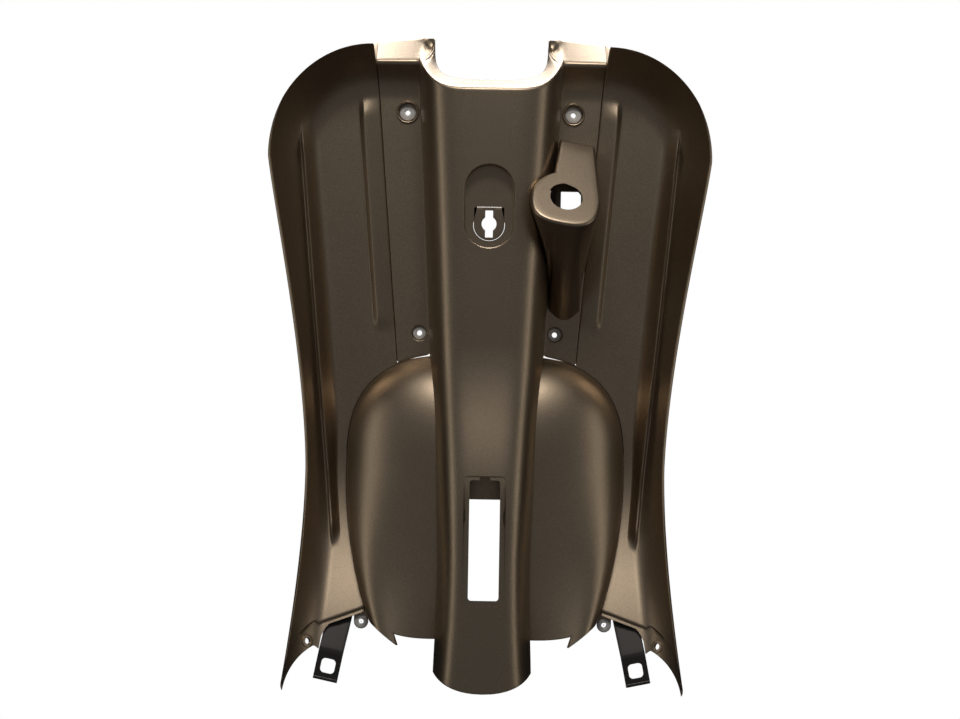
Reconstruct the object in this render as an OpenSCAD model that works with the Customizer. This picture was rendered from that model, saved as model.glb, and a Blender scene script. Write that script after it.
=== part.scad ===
// Scooter leg shield. The rider's side faces -Y and up is +Z.
// The origin is halfway between the two upper screw places, on the face that the screws pull on.
// Depths are measured from that face towards the rider.

/* [Outline] */
// Half width at the shoulders
shoulder_half_w = 217; // [205:1:235]
// Drop from the upper screws to the shoulders
shoulder_drop = 49; // [42:1:56]
// Height of the top rim over the upper screws
rim_top = 65; // [60:1:72]
// Half width at the waist
waist_half_w = 177; // [172:1:185]
// Drop from the upper screws to the waist
waist_drop = 357; // [345:1:370]
// Half width at the lower tips
tip_half_w = 191; // [182:1:205]
// Drop from the upper screws to the lower tips
tip_drop = 557; // [550:1:570]
// Half width of the middle panel at its top
seam_top_half_w = 115; // [110:1:120]
// Half width of the middle panel at its bottom
seam_low_half_w = 89; // [85:1:93]

/* [Sheet] */
// Wall of every moulded panel
sheet_t = 2.5; // [2:0.1:3.2]
// Clearance between two panels where one lies over the other
lap_gap = 0.3; // [0.2:0.05:0.5]
// Width of the groove that shows at a seam
groove_w = 1; // [0.6:0.1:1.6]
// How far one panel reaches behind the next
lap_w = 13; // [10:1:16]

/* [Side panels] */
// How far the rim comes forward at the top
rim_rise = 50; // [40:1:56]
// Width of the band that turns into the rim at the top
rim_band = 60; // [50:1:66]
// How far the rim comes forward at the waist
waist_rise = 30; // [22:1:36]
// Width of the band that turns into the rim at the waist
waist_band = 32; // [26:1:36]
// How far the foot of the shield sweeps forward
sweep_rise = 80; // [60:1:90]
// Drop at which the forward sweep begins
sweep_drop = 340; // [330:1:350]
// Height over which the foot sweeps forward
sweep_h = 260; // [240:1:280]
// Height of the long blade crease
blade_h = 10; // [6:0.5:12]
// Width of the bright face of the blade
blade_w = 13; // [9:0.5:15]
// Half distance between the blades at the shoulders
blade_top_x = 187; // [184:1:189]
// Half distance between the blades at their lower end
blade_low_x = 149; // [147:1:151]
// Drop of the blade's lower end
blade_drop = 432; // [420:1:440]
// Height of the short step next to the middle panel
step_h = 5; // [3:0.5:6]
// Drop of the short step's lower end
step_drop = 218; // [205:1:225]
// Where the short step runs, as a share of the way to the blade
step_share = 0.21; // [0.18:0.01:0.24]
// Width over which a step drops
step_run = 1.6; // [1.2:0.1:2.4]

/* [Lower flange] */
// How far the flange under the foot edge is set back
flange_back = 3; // [2:0.5:4]
// Height of the flange under the screw
flange_h = 24; // [20:1:28]
// Half distance between the flange screws
flange_screw_x = 169; // [166:1:172]
// Drop of the flange screws
flange_screw_drop = 520; // [517:1:523]
// Diameter of the flange screw holes
flange_hole_d = 6; // [5:0.1:6.5]

/* [Wheel arch] */
// Half width of the wheel arch
arch_half_w = 138; // [134:1:142]
// Drop of the widest place of the wheel arch
arch_mid_drop = 360; // [352:1:368]
// Height of the arch over its widest place
arch_h = 120; // [114:1:124]
// How much each side draws in from the widest place to the foot
arch_draw = 23; // [18:1:28]
// Drop of the arch's lower corners
arch_corner_drop = 488; // [482:1:494]
// Drop of the arch's lower edge at the middle
arch_foot_drop = 520; // [514:1:526]
// How far the arch reaches behind the side panels
arch_lap_w = 9; // [7:0.5:10]
// How far the arch bulges towards the rider
arch_rise = 66; // [56:1:70]

/* [Column cover] */
// Half width of the column cover at the upper screws
col_top_half_w = 70; // [67:0.5:73]
// Half width of the column cover where it is narrowest
col_low_half_w = 49; // [46:0.5:52]
// Drop of the narrowest place
col_low_drop = 440; // [430:1:450]
// Depth of the column cover at the top
col_rise = 80; // [74:1:84]
// How much deeper the column cover is in front of the wheel arch
col_extra = 30; // [24:1:34]
// Drop of the end of the column cover
col_end_drop = 561; // [554:1:568]
// How much each side wall leans in
col_draft = 4; // [2:0.5:7]
// Drop of the column cover's round end from its corners
col_end_round = 30; // [20:1:36]

/* [Neck] */
// Height of the ledge's near edge over the upper screws
ledge_z = 45; // [40:1:50]
// Height of the ledge's far edge over the upper screws
ledge_top = 70; // [66:1:74]
// Depth of the ledge's far edge
ledge_d = 2; // [-4:1:8]
// How far the column's front edge drops below the ledge
neck_drop = 32; // [26:1:36]
// Half width of the notch for the steering head
notch_half_w = 56; // [52:0.5:60]
// Height of the notch floor over the upper screws
notch_z = 29; // [26:1:34]
// Depth of the notch floor's edge
notch_d = 40; // [30:1:50]

/* [Screw places] */
// Half distance between the upper screws
upper_screw_x = 82.7; // [80:0.1:85]
// Half distance between the lower screws
lower_screw_x = 67.5; // [66:0.1:69]
// Drop of the lower screws
lower_screw_drop = 220; // [214:1:226]
// Depth of the screw wells from the face of the panel to the collar
well_depth = 4; // [3:0.5:5]
// Diameter of the upper wells
upper_well_d = 19; // [18:0.5:20]
// Diameter of the lower wells
lower_well_d = 15; // [14.5:0.5:16]
// Half distance between the tab screws
tab_screw_x = 118.5; // [117:0.5:120]
// Drop of the tab screws
tab_screw_drop = 503; // [500:1:506]
// Diameter of the hole through every collar
collar_bore = 5.2; // [4.2:0.1:5.4]
// Wall of a collar's sleeve
collar_wall = 1.2; // [1:0.1:1.4]
// Thickness of a collar's head
collar_head_t = 1.2; // [1:0.1:1.6]
// Clearance round a collar
collar_gap = 0.2; // [0.15:0.05:0.3]
// How far a collar's sleeve stands out behind its seat
collar_tail = 3; // [2:0.5:4]

// Width of the tab for a tab screw
tab_w = 14; // [13:0.5:15]
// Thickness of the tab
tab_t = 3; // [2.5:0.1:3.5]
// Diameter of the small fixing screws on the back
screw_d = 4; // [3.5:0.1:4.2]
// Diameter of a small screw's washer head
screw_head_d = 9; // [8:0.5:10]
// Diameter of the bosses for the small screws
boss_d = 8; // [7.5:0.1:9]

/* [Window] */
// Width of the long window in the column cover
window_w = 29; // [26:0.5:30]
// Drop of the window's upper edge
window_top_drop = 360; // [356:1:364]
// Drop of the window's lower edge
window_end_drop = 474; // [468:1:478]
// Width of the small notch over the window
notch_w = 10; // [8:0.5:12]
// Height of the small notch over the window
notch_h = 3; // [2:0.5:4]
// Width of the sunk border round the window
border_w = 3.6; // [3:0.2:4.4]
// Depth of the sunk border
border_t = 0.9; // [0.6:0.1:1.2]
// Width of the opening in the wheel arch behind the window
arch_window_w = 34; // [30:1:38]
// Drop of the upper edge of that opening
arch_window_drop = 381; // [376:1:386]
// Drop of the lower edge of that opening
arch_window_end_drop = 492; // [486:1:498]

/* [Hook recess] */
// Drop of the middle of the recess
recess_drop = 98; // [94:1:102]
// Half width of the recess
recess_half_w = 24; // [22:0.5:26]
// Half height of the recess
recess_half_h = 40; // [37:1:43]
// Depth of the recess at its plate
recess_depth = 13; // [11:0.5:15]
// Width of the plate in the recess
plate_w = 29.6; // [28:0.2:31]
// Height of the plate in the recess
plate_h = 32; // [30:0.5:34]
// Clearance round the plate
plate_gap = 0.5; // [0.3:0.1:0.8]
// Thickness of the plate
plate_t = 2; // [1.6:0.2:2.4]
// Diameter of the keyhole's round part
key_d = 14.4; // [13:0.2:15]
// Width of the keyhole's slots
key_slot_w = 7.5; // [6:0.5:8.5]
// Length of the keyhole over both slots
key_slot_h = 26; // [23:0.5:27]

/* [Lock housing] */
// Place of the lock hole's middle to the right of the centre
lock_x = 73.5; // [72:0.5:75]
// Drop of the lock hole's middle
lock_drop = 89; // [86:1:92]
// Depth of the lock hole's middle
lock_d = 88; // [84:1:92]
// How far the lock's face leans back from upright
lock_tilt = 37; // [33:1:41]
// Turn of the lock's face as the rider sees it
lock_turn = 10; // [7:1:12]
// Radius of the hole for the lock barrel
lock_r = 15.6; // [14.5:0.1:16.5]
// Radius of the cleared part of the lock hole
lock_relief_r = 17.5; // [16.8:0.1:18.5]
// Radius of the face round the lock hole
lock_face_r = 33; // [31:0.5:35]
// Width of the arm that runs up from the face
arm_w = 35; // [32:0.5:37]
// Shift of the arm to the right of the hole
arm_shift = 2; // [0:0.5:4]
// Length of the arm from the middle of the hole
arm_l = 67; // [62:1:70]
// Drop of the housing's lower end
lock_end_drop = 205; // [200:1:208]

// Width of the opening behind the lock housing
lock_way_w = 20; // [16:1:21]
// Height of the opening behind the lock housing
lock_way_h = 72; // [60:1:76]

/* [Floor clips] */
// Width of a floor clip
clip_w = 24; // [20:0.5:26]
// Thickness of a floor clip
clip_t = 2.5; // [2:0.1:3]
// Distance from the middle to a clip's top end
clip_x = 135.5; // [132:0.5:136]
// Height of a clip's top end over the arch's lower corners
clip_tuck = 8; // [6:1:12]
// Lean of a clip as the rider sees it
clip_lean = 12; // [8:1:15]
// Slope of a clip's upper half
clip_slope = 24; // [20:1:28]
// Turn at a clip's bend
clip_turn = 38; // [30:1:45]
// Inner radius of a clip's bend
clip_bend_r = 9; // [6:1:12]
// Length of a clip's upper half
clip_upper_l = 53; // [48:1:57]
// Length of a clip's lower half
clip_lower_l = 27; // [24:1:30]
// Width of the slot in a floor clip
clip_slot_w = 14; // [10:0.5:16]
// Height of the slot in a floor clip
clip_slot_h = 15; // [12:0.5:18]

/* [Hidden] */

paint = "#5b5349";
plain_plastic = "#2b2826";
metal = "#c9c6c0";

// Half width and height of the round upper corner
corner_a = shoulder_half_w - seam_top_half_w;
corner_h = rim_top + shoulder_drop;

// Powers of the curves
shoulder_pow = 1.6;
shoulder_turn = 1.15;
arch_pow = 3;
arch_side_pow = 2.2;
col_pow = 4;
col_taper_pow = 1.2;

function mix(a, b, t) = a + (b - a) * t;
function ease(t) = let (c = min(1, max(0, t))) c * c * (3 - 2 * c);

// Sheet between a front and a back grid of points, each a list of rows, closed along every border.
// keep(i, j) says which cells between rows i and i+1 and columns j and j+1 are there.
// A round sheet joins its last column to its first.
module sheet(front, back, keep = function (i, j) true, round = false) {
    rows = len(front);
    cols = len(front[0]);
    total = rows * cols;
    spans = round ? cols : cols - 1;
    is_in = function (i, j)
        i >= 0 && i < rows - 1 && (round || (j >= 0 && j < spans)) && keep(i, (j + spans) % spans);
    polyhedron(
        points = concat([for (row = front) each row], [for (row = back) each row]),
        faces = [
            for (i = [0 : rows - 2], j = [0 : spans - 1]) if (is_in(i, j))
                let (a = i * cols + j, b = i * cols + (j + 1) % cols, c = b + cols, e = a + cols)
                each concat(
                    [[a, b, c], [a, c, e]],
                    [[a + total, c + total, b + total], [a + total, e + total, c + total]],
                    is_in(i - 1, j) ? [] : [[b, a, a + total], [b, a + total, b + total]],
                    is_in(i, j + 1) ? [] : [[c, b, b + total], [c, b + total, c + total]],
                    is_in(i + 1, j) ? [] : [[e, c, c + total], [e, c + total, e + total]],
                    is_in(i, j - 1) ? [] : [[a, e, e + total], [a, e + total, a + total]]
                )
        ],
        convexity = 8
    );
}

// Half width of the whole outline at a height
function outline_x(z) =
    z > -shoulder_drop
        ? seam_top_half_w + corner_a * sqrt(max(0, 1 - pow((z + shoulder_drop) / corner_h, 2)))
    : z > -waist_drop
        ? let (s = (z + waist_drop) / (waist_drop - shoulder_drop))
            mix(waist_half_w, shoulder_half_w, 1 - pow(1 - pow(s, shoulder_pow), shoulder_turn))
        : mix(waist_half_w, tip_half_w, pow((-waist_drop - z) / (tip_drop - waist_drop), 2));

// Height of the top outline at a distance from the middle
function outline_z(x) =
    -shoulder_drop + corner_h * sqrt(max(0, 1 - pow(max(0, x - seam_top_half_w) / corner_a, 2)));

// Distance of a place from the outline, inwards
function rim_gap(x, z) =
    z > -shoulder_drop
        ? (1 - norm([max(0, x - seam_top_half_w) / corner_a, (z + shoulder_drop) / corner_h])) * corner_a
        : outline_x(z) - x;

// Forward sweep of the foot
function sweep(z) = well_depth + sweep_rise * ease((-z - sweep_drop) / sweep_h);

// Depth of the panels without creases: a rim that curls forward, and the sweep of the foot
function panel_d(x, z) =
    let (up = ease((z + waist_drop) / (waist_drop - shoulder_drop)),
         band = mix(waist_band, rim_band, up),
         near = max(0, 1 - max(0, rim_gap(x, z)) / band))
    mix(waist_rise, rim_rise, up) * near * near + sweep(z);

// Seam between the middle panel and a side panel
function seam_x(z) =
    mix(seam_low_half_w, seam_top_half_w, (z + arch_mid_drop - arch_h * 0.9) / (rim_top + arch_mid_drop - arch_h * 0.9));

// Wheel arch: half width at a height, and how near a place is to the outline of the arch
function arch_w(z) =
    z > -arch_mid_drop
        ? arch_half_w * pow(max(0, 1 - pow((z + arch_mid_drop) / arch_h, arch_pow)), 1 / arch_pow)
        : arch_half_w - arch_draw * pow((-arch_mid_drop - z) / (arch_corner_drop - arch_mid_drop), 2);
function arch_ratio(x, z) =
    z > -arch_mid_drop
        ? pow(pow(abs(x) / arch_half_w, arch_pow) + pow((z + arch_mid_drop) / arch_h, arch_pow), 1 / arch_pow)
        : abs(x) / arch_w(z);
function arch_d(x, z) =
    let (r = min(1, arch_ratio(x, z)))
    sweep(z) * r * r + arch_rise * sqrt(1 - pow(r, arch_side_pow));

// Blade and short step: where they run and how high they stand
function blade_x(z) =
    z > -shoulder_drop / 2 ? blade_top_x
    : z > -blade_drop ? mix(blade_top_x, blade_low_x, (-shoulder_drop / 2 - z) / (blade_drop - shoulder_drop / 2))
    : blade_low_x + 9 * pow((-blade_drop - z) / 72, 2);
function blade_here(z) = blade_h * ease((-z) / 90) * ease((z + blade_drop) / 22);
function step_here(z) = step_h * ease((30 - z) / 110) * ease((z + step_drop) / 12);

// Inner edge of a side panel, from the top of the seam down and round the wheel arch
function inner_edge(t) =
    let (seam_end = -arch_mid_drop + arch_h * 0.9)
    t < 0.5 ? let (z = mix(rim_top, seam_end, t / 0.5)) [seam_x(z), z]
    : t < 0.75 ? let (a = mix(asin(pow(seam_x(seam_end) / arch_half_w, arch_pow / 2)), 90, (t - 0.5) / 0.25))
        [arch_half_w * pow(sin(a), 2 / arch_pow), -arch_mid_drop + arch_h * pow(cos(a), 2 / arch_pow)]
    : let (z = mix(-arch_mid_drop, -arch_corner_drop, (t - 0.75) / 0.25)) [arch_w(z), z];
function blade_line(t) =
    let (top = outline_z(blade_top_x - 1),
         z = t < 0.5 ? mix(top, -243, t / 0.5) : t < 0.75 ? mix(-243, -358, (t - 0.5) / 0.25)
            : mix(-358, -503, (t - 0.75) / 0.25))
    [t < 0.01 ? blade_top_x - 1 : blade_x(z), z];
function outer_edge(t) =
    let (z = t < 0.5 ? mix(5, -240, t / 0.5) : t < 0.75 ? mix(-240, -waist_drop, (t - 0.5) / 0.25)
            : mix(-waist_drop, -tip_drop, (t - 0.75) / 0.25))
    [outline_x(z), z];

// Places across a side panel. Each is [which stretch, share of it, shift], where stretch 0 runs from the
// inner edge to the step, 1 from there to the blade and 2 from the blade to the outline.
function across(t) =
    let (p = inner_edge(t), q = blade_line(t), r = outer_edge(t),
         face = min(blade_w, 0.45 * norm(q - p)),
         unit = (q - p) / norm(q - p), out = (r - q) / norm(r - q),
         s = p + (q - p) * step_share, s2 = s + unit * min(step_run, 0.05 * norm(q - p)),
         f = q - unit * face, q2 = q + out * step_run)
    [p, mix(p, s, 0.5), s, s2, mix(s2, f, 0.15), mix(s2, f, 0.4), mix(s2, f, 0.7), f, mix(f, q, 0.5), q, q2,
     mix(q2, r, 0.2), mix(q2, r, 0.4), mix(q2, r, 0.6), mix(q2, r, 0.8), r];

wing_rows = [0, 0.02, 0.05, 0.08, 0.115, 0.15, 0.19, 0.23, 0.28, 0.33, 0.38, 0.42, 0.46, 0.5, 0.54, 0.585, 0.63,
    0.69, 0.75, 0.79, 0.83, 0.865, 0.89, 0.92, 0.96, 1];

// One row of a side panel as [x, z] places
top_row = across(0);
function pulled(t) =
    let (fade = pow(max(0, 1 - t / 0.2), 2), low = pow(max(0, (t - 0.85) / 0.15), 2), row = across(t))
    [for (j = [0 : len(row) - 1])
        let (lift = outline_z(top_row[j][0]) - top_row[j][1],
             s = j < 10 ? 0 : (j - 10) / (len(row) - 11))
        row[j] + [0, lift * fade] + [7, 9] * 4 * s * (1 - s) * low];

// Depth of a side panel with its creases; j is the place in the row
function ridge(row, j, z) =
    let (n = norm(row[9] - row[7]))
    j <= 2 ? step_here(z) * j / 2
    : j >= 7 && j <= 9 ? blade_here(z) * (j - 7) / 2
    : 0;
function slope(x, z) =
    let (e = 0.5) norm([panel_d(x + e, z) - panel_d(x - e, z), panel_d(x, z + e) - panel_d(x, z - e)]) / (2 * e);
function back_t(x, z) = sheet_t * min(2.4, sqrt(1 + pow(slope(x, z), 2)));
function panel_back(x, z) = panel_d(x, z) - back_t(x, z);

wing_grid = [for (t = wing_rows) pulled(t)];
foot_row = wing_grid[len(wing_grid) - 1];

// Lower border of the flange under the foot edge
function flange_drop(j) =
    let (s = j / (len(foot_row) - 1))
    1.5 + flange_h * (j <= 8 ? 0.15 : 1) * pow(1 - pow(s, 3), 0.8);

module wing_shell() {
    flange_rows = [0.02, 0.35, 0.7, 1];
    front = concat(
        [for (row = wing_grid) [for (j = [0 : len(row) - 1])
            let (p = row[j]) [p[0], -panel_d(p[0], p[1]) - ridge(row, j, p[1]), p[1]]]],
        [for (f = flange_rows) [for (j = [0 : len(foot_row) - 1])
            let (p = foot_row[j] - [0, flange_drop(j) * f])
            [p[0], -panel_d(p[0], p[1]) + flange_back, p[1]]]]);
    back = [for (row = front) [for (p = row) p + [0, back_t(p[0], p[2]), 0]]];
    sheet(front, back);
}

tab_d = panel_d(tab_screw_x, -arch_corner_drop) - flange_back - 1;
flange_d = panel_d(flange_screw_x, -flange_screw_drop) - flange_back;

module wing() {
    color(paint) difference() {
        union() {
            wing_shell();
            // Tab for the screw beside the wheel arch
            translate([tab_screw_x, -tab_d, -tab_screw_drop]) rotate([90, 0, 0])
                translate([0, 0, -tab_t]) linear_extrude(tab_t) {
                    circle(d = tab_w, $fn = 48);
                    translate([-tab_w / 2, 0]) square([tab_w, tab_screw_drop - arch_corner_drop]);
                }
            // Boss that the floor clip is screwed to
            clip_screw_frame() cylinder(d = boss_d, h = boss_h, $fn = 32);
        }
        translate([tab_screw_x, -tab_d, -tab_screw_drop]) rotate([90, 0, 0])
            cylinder(r = collar_bore / 2 + collar_wall + collar_gap, h = 20, center = true, $fn = 48);
        translate([flange_screw_x, -flange_d, -flange_screw_drop]) rotate([90, 0, 0])
            cylinder(d = flange_hole_d, h = 30, center = true, $fn = 48);
        clip_screw_frame() translate([0, 0, -1]) cylinder(d = screw_d - 1, h = boss_h, $fn = 32);
    }
}

module wing_left() mirror([1, 0, 0]) wing();
module wing_right() wing();

// Column cover: half width, depth of its front and depth of its root at a height
function col_w(z) =
    z > -col_low_drop
        ? mix(col_low_half_w, col_top_half_w, pow((z + col_low_drop) / col_low_drop, col_taper_pow))
        : col_low_half_w + 2.5 * pow((-col_low_drop - z) / 75, 2);
function col_d(z) = col_rise + col_extra * ease((-z - 230) / 170);
arch_top_z = -arch_mid_drop + arch_h;
function col_root(z) =
    z > arch_top_z - 0.5 ? panel_d(0, z)
    : max(panel_d(0, z), arch_d(col_w(z) - col_draft - sheet_t, z) + 2 * lap_gap);

// Half width of the column cover at a share of its depth, and its depth at a distance from the middle
function col_side(z, up, inset) =
    (col_w(z) - inset - col_draft * up) * pow(max(0, 1 - pow(up, col_pow)), 1 / col_pow);
function col_up(x, z, low = 0, high = 1, n = 14) =
    let (m = (low + high) / 2)
    n == 0 ? m : col_side(z, m, 0) > abs(x) ? col_up(x, z, m, high, n - 1) : col_up(x, z, low, m, n - 1);
function col_face(x, z) = abs(x) >= col_w(z) ? 0 : col_d(z) * col_up(x, z);

// Section of the column cover, as [x, depth]: angle 0 is the root and 90 the middle of the front
function col_section(z, a, root, inset) =
    let (rise = col_d(z) - inset, low = asin(pow(root / rise, col_pow / 2)),
         up = pow(sin(mix(low, 90, a / 90)), 2 / col_pow))
    [col_side(z, up, inset), rise * up];

// Places across the middle panel: angles on the column, then shares of the strip beside it, then the lap
col_angles = [90, 78, 67, 57, 48, 40, 32, 24, 16, 8, 0];
strip_shares = [0, 0.33, 0.67, 1];
col_n = len(col_angles);
strip_n = len(strip_shares);
half_n = col_n + strip_n + 2;
root_fillet = 3;

function strip_x(k, z) = mix(col_w(z) + root_fillet, seam_x(z) - groove_w / 2, strip_shares[k]);
function lap_x(k, z) = k == 0 ? seam_x(z) - groove_w / 2 + 0.2 : seam_x(z) + lap_w;
function lap_d(x, z) = panel_back(x, z) - lap_gap;

// Arch outline as a height at a distance from the middle
function arch_top_at(x) = -arch_mid_drop + arch_h * pow(1 - pow(x / arch_half_w, arch_pow), 1 / arch_pow);

function top_z(k) = k < col_n ? ledge_z - neck_drop * (1 - pow(cos(col_angles[k]), 3)) : ledge_z;
function low_z(k) =
    k < col_n ? arch_top_z
    : let (z0 = -245, x = k < col_n + strip_n ? strip_x(k - col_n, z0) : seam_x(z0))
        arch_top_at(x) + groove_w;

// A place of the middle panel on its front (skin 0) or back (skin 1)
function panel_point(k, z, skin) =
    k < col_n
        ? let (root = col_root(z), p = col_section(z, col_angles[k], root, skin * sheet_t),
               drop = k == col_n - 1 && z > arch_top_z - 0.5 ? skin * sheet_t : 0)
            [p[0], -p[1] + drop, z]
    : k < col_n + strip_n
        ? let (x = strip_x(k - col_n, z)) [x - (k == col_n + strip_n - 1 ? skin * sheet_t * 0.7 : 0),
            -panel_d(x, z) + skin * back_t(x, z), z]
    : let (x = lap_x(k - col_n - strip_n, z))
        [x - (k == col_n + strip_n ? skin * sheet_t * 0.7 : 0), -lap_d(x, z) + skin * sheet_t, z];

// Far edge of the turned-back ledge and notch
function far_point(k, skin) =
    let (a = k < col_n ? col_angles[k] : 0, z = ledge_z,
         b = max(0, (a - 12) / 78 * 90), w = notch_half_w + skin * sheet_t,
         h = ledge_top - notch_z + skin * sheet_t)
    k >= col_n ? let (x = k < col_n + strip_n ? strip_x(k - col_n, z) : lap_x(k - col_n - strip_n, z))
        [x, -ledge_d + skin * 1.8, ledge_top - 4 * (x - 72) / 40 - skin * 1.8]
    : a < 12 ? [mix(col_w(z) + 1, notch_half_w + 1 + skin * sheet_t, a / 12), -ledge_d + skin * 1.8, ledge_top - skin * 1.8]
    : [w * pow(cos(b), 2 / col_pow), -mix(ledge_d, notch_d, sin(b)), ledge_top - h * pow(sin(b), 2 / col_pow)];

upper_shares = [0, 0.03, 0.08, 0.14, 0.2, 0.27, 0.34, 0.42, 0.5, 0.58, 0.66, 0.74, 0.82, 0.89, 0.955, 1];
lower_drops = [244, 249, 256, 266, 280, 297, 317, 340, 365, 390, 415, 440, 465, 490, 512, 530];
end_shares = [0.4, 0.75, 1];
function end_z(k) =
    -col_end_drop + col_end_round * pow(cos(col_angles[min(k, col_n - 1)]), 2);

function half_row(i, skin) =
    [for (k = [0 : half_n - 1])
        i == 0 ? far_point(k, skin)
        : i == 1 ? (far_point(k, skin) + panel_point(k, top_z(k), skin) - [0, 0, skin * 2.2]) / 2
        : i - 2 < len(upper_shares)
            ? let (z = mix(top_z(k), low_z(k), upper_shares[i - 2]))
                panel_point(k, z - (i == 2 ? skin * 2.2 : 0), skin)
        : let (n = i - 2 - len(upper_shares),
               last = -lower_drops[len(lower_drops) - 1],
               z = n < len(lower_drops) ? -lower_drops[n] : mix(last, end_z(k), end_shares[n - len(lower_drops)]))
            panel_point(min(k, col_n - 1), z, skin) + [k < col_n ? 0 : (k - col_n + 1) * 2, 0, 0]];
function full_row(i, skin) =
    let (h = half_row(i, skin))
    concat([for (k = [half_n - 1 : -1 : 1]) [-h[k][0], h[k][1], h[k][2]]], h);

middle_rows = 2 + len(upper_shares) + len(lower_drops) + len(end_shares);
module middle_shell() {
    last_lap_row = 2 + len(upper_shares) - 3;
    last_strip_row = 2 + len(upper_shares) - 2;
    first_lap_row = 5;
    keep = function (i, j)
        let (k = abs(j + 0.5 - (half_n - 1)) - 0.5)
        k < col_n - 1 || (k < col_n + strip_n - 1 && i <= last_strip_row)
            || (i <= last_lap_row && i >= first_lap_row);
    sheet([for (i = [0 : middle_rows - 1]) full_row(i, 0)], [for (i = [0 : middle_rows - 1]) full_row(i, 1)], keep);
}

// Well for a screw collar, as a ring section turned round the screw's axis
well_floor_t = 2;
module well_cup(d) {
    rotate([90, 0, 0]) translate([0, 0, -well_floor_t]) rotate_extrude($fn = 48) difference() {
        square([d / 2 + 1.8, well_floor_t + well_depth - 0.8]);
        translate([-1, well_floor_t]) square([d / 2 + 1, well_depth + 5]);
        translate([-1, -1]) square([collar_bore / 2 + collar_wall + collar_gap + 1, well_floor_t + 5]);
    }
}
module screw_places() {
    for (s = [-1, 1]) {
        translate([s * upper_screw_x, 0, 0]) children(0);
        translate([s * lower_screw_x, 0, -lower_screw_drop]) children(1);
    }
}

// Stadium outline of the recess, grown by g
module recess_shape(g) {
    for (s = [-1, 1]) translate([0, s * (recess_half_h - recess_half_w)]) circle(r = recess_half_w + g, $fn = 64);
    square([2 * (recess_half_w + g), 2 * (recess_half_h - recess_half_w)], center = true);
}
recess_floor_d = col_rise - recess_depth;
plate_drop = recess_drop + 16.5;

module plate_shape(g) {
    r = plate_w / 2 + g;
    translate([0, -(plate_h / 2 - plate_w / 2)]) circle(r = r, $fn = 64);
    translate([-r, -(plate_h / 2 - plate_w / 2)]) square([2 * r, plate_h - plate_w / 2 + g]);
}

module centre_cover() {
    color(paint) difference() {
        union() {
            difference() {
                middle_shell();
                screw_places() {
                    rotate([90, 0, 0]) cylinder(d = upper_well_d, h = 30, center = true, $fn = 48);
                    rotate([90, 0, 0]) cylinder(d = lower_well_d, h = 30, center = true, $fn = 48);
                }
                translate([0, -recess_floor_d, -recess_drop]) rotate([90, 0, 0]) linear_extrude(col_rise) recess_shape(0);
            }
            screw_places() {
                well_cup(upper_well_d);
                well_cup(lower_well_d);
            }
            translate([0, -recess_floor_d, -recess_drop]) rotate([90, 0, 0]) difference() {
                linear_extrude(recess_depth - 1) recess_shape(2);
                translate([0, 0, 2]) linear_extrude(recess_depth + 5) recess_shape(0);
                translate([0, -(plate_drop - recess_drop), -1]) linear_extrude(10) plate_shape(plate_gap);
            }
        }
        // Opening for the lock barrel and its cable, inside the lock housing
        translate([lock_x - 2, 0, -lock_drop - 60]) rotate([90, 0, 0])
            linear_extrude(2 * panel_d(lock_x, -lock_drop) + 10, center = true) square([lock_way_w, lock_way_h]);
        // Long window with its sunk border
        translate([0, -col_rise, 0]) rotate([90, 0, 0]) linear_extrude(2 * col_extra)
            {
                translate([-window_w / 2, -window_end_drop]) square([window_w, window_end_drop - window_top_drop]);
                translate([-notch_w / 2, -window_top_drop - 1]) square([notch_w, notch_h + 1]);
            }
    }
}

// Outward direction at a place on the arch, seen from the rider
function arch_out(x, z) =
    let (e = 0.5, g = [arch_ratio(x + e, z) - arch_ratio(x - e, z), arch_ratio(x, z + e) - arch_ratio(x, z - e)])
    norm(g) == 0 ? [0, 0] : g / norm(g);
function arch_foot(s) = -arch_foot_drop + (arch_foot_drop - arch_corner_drop) * pow(abs(s), 3.5);

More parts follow.
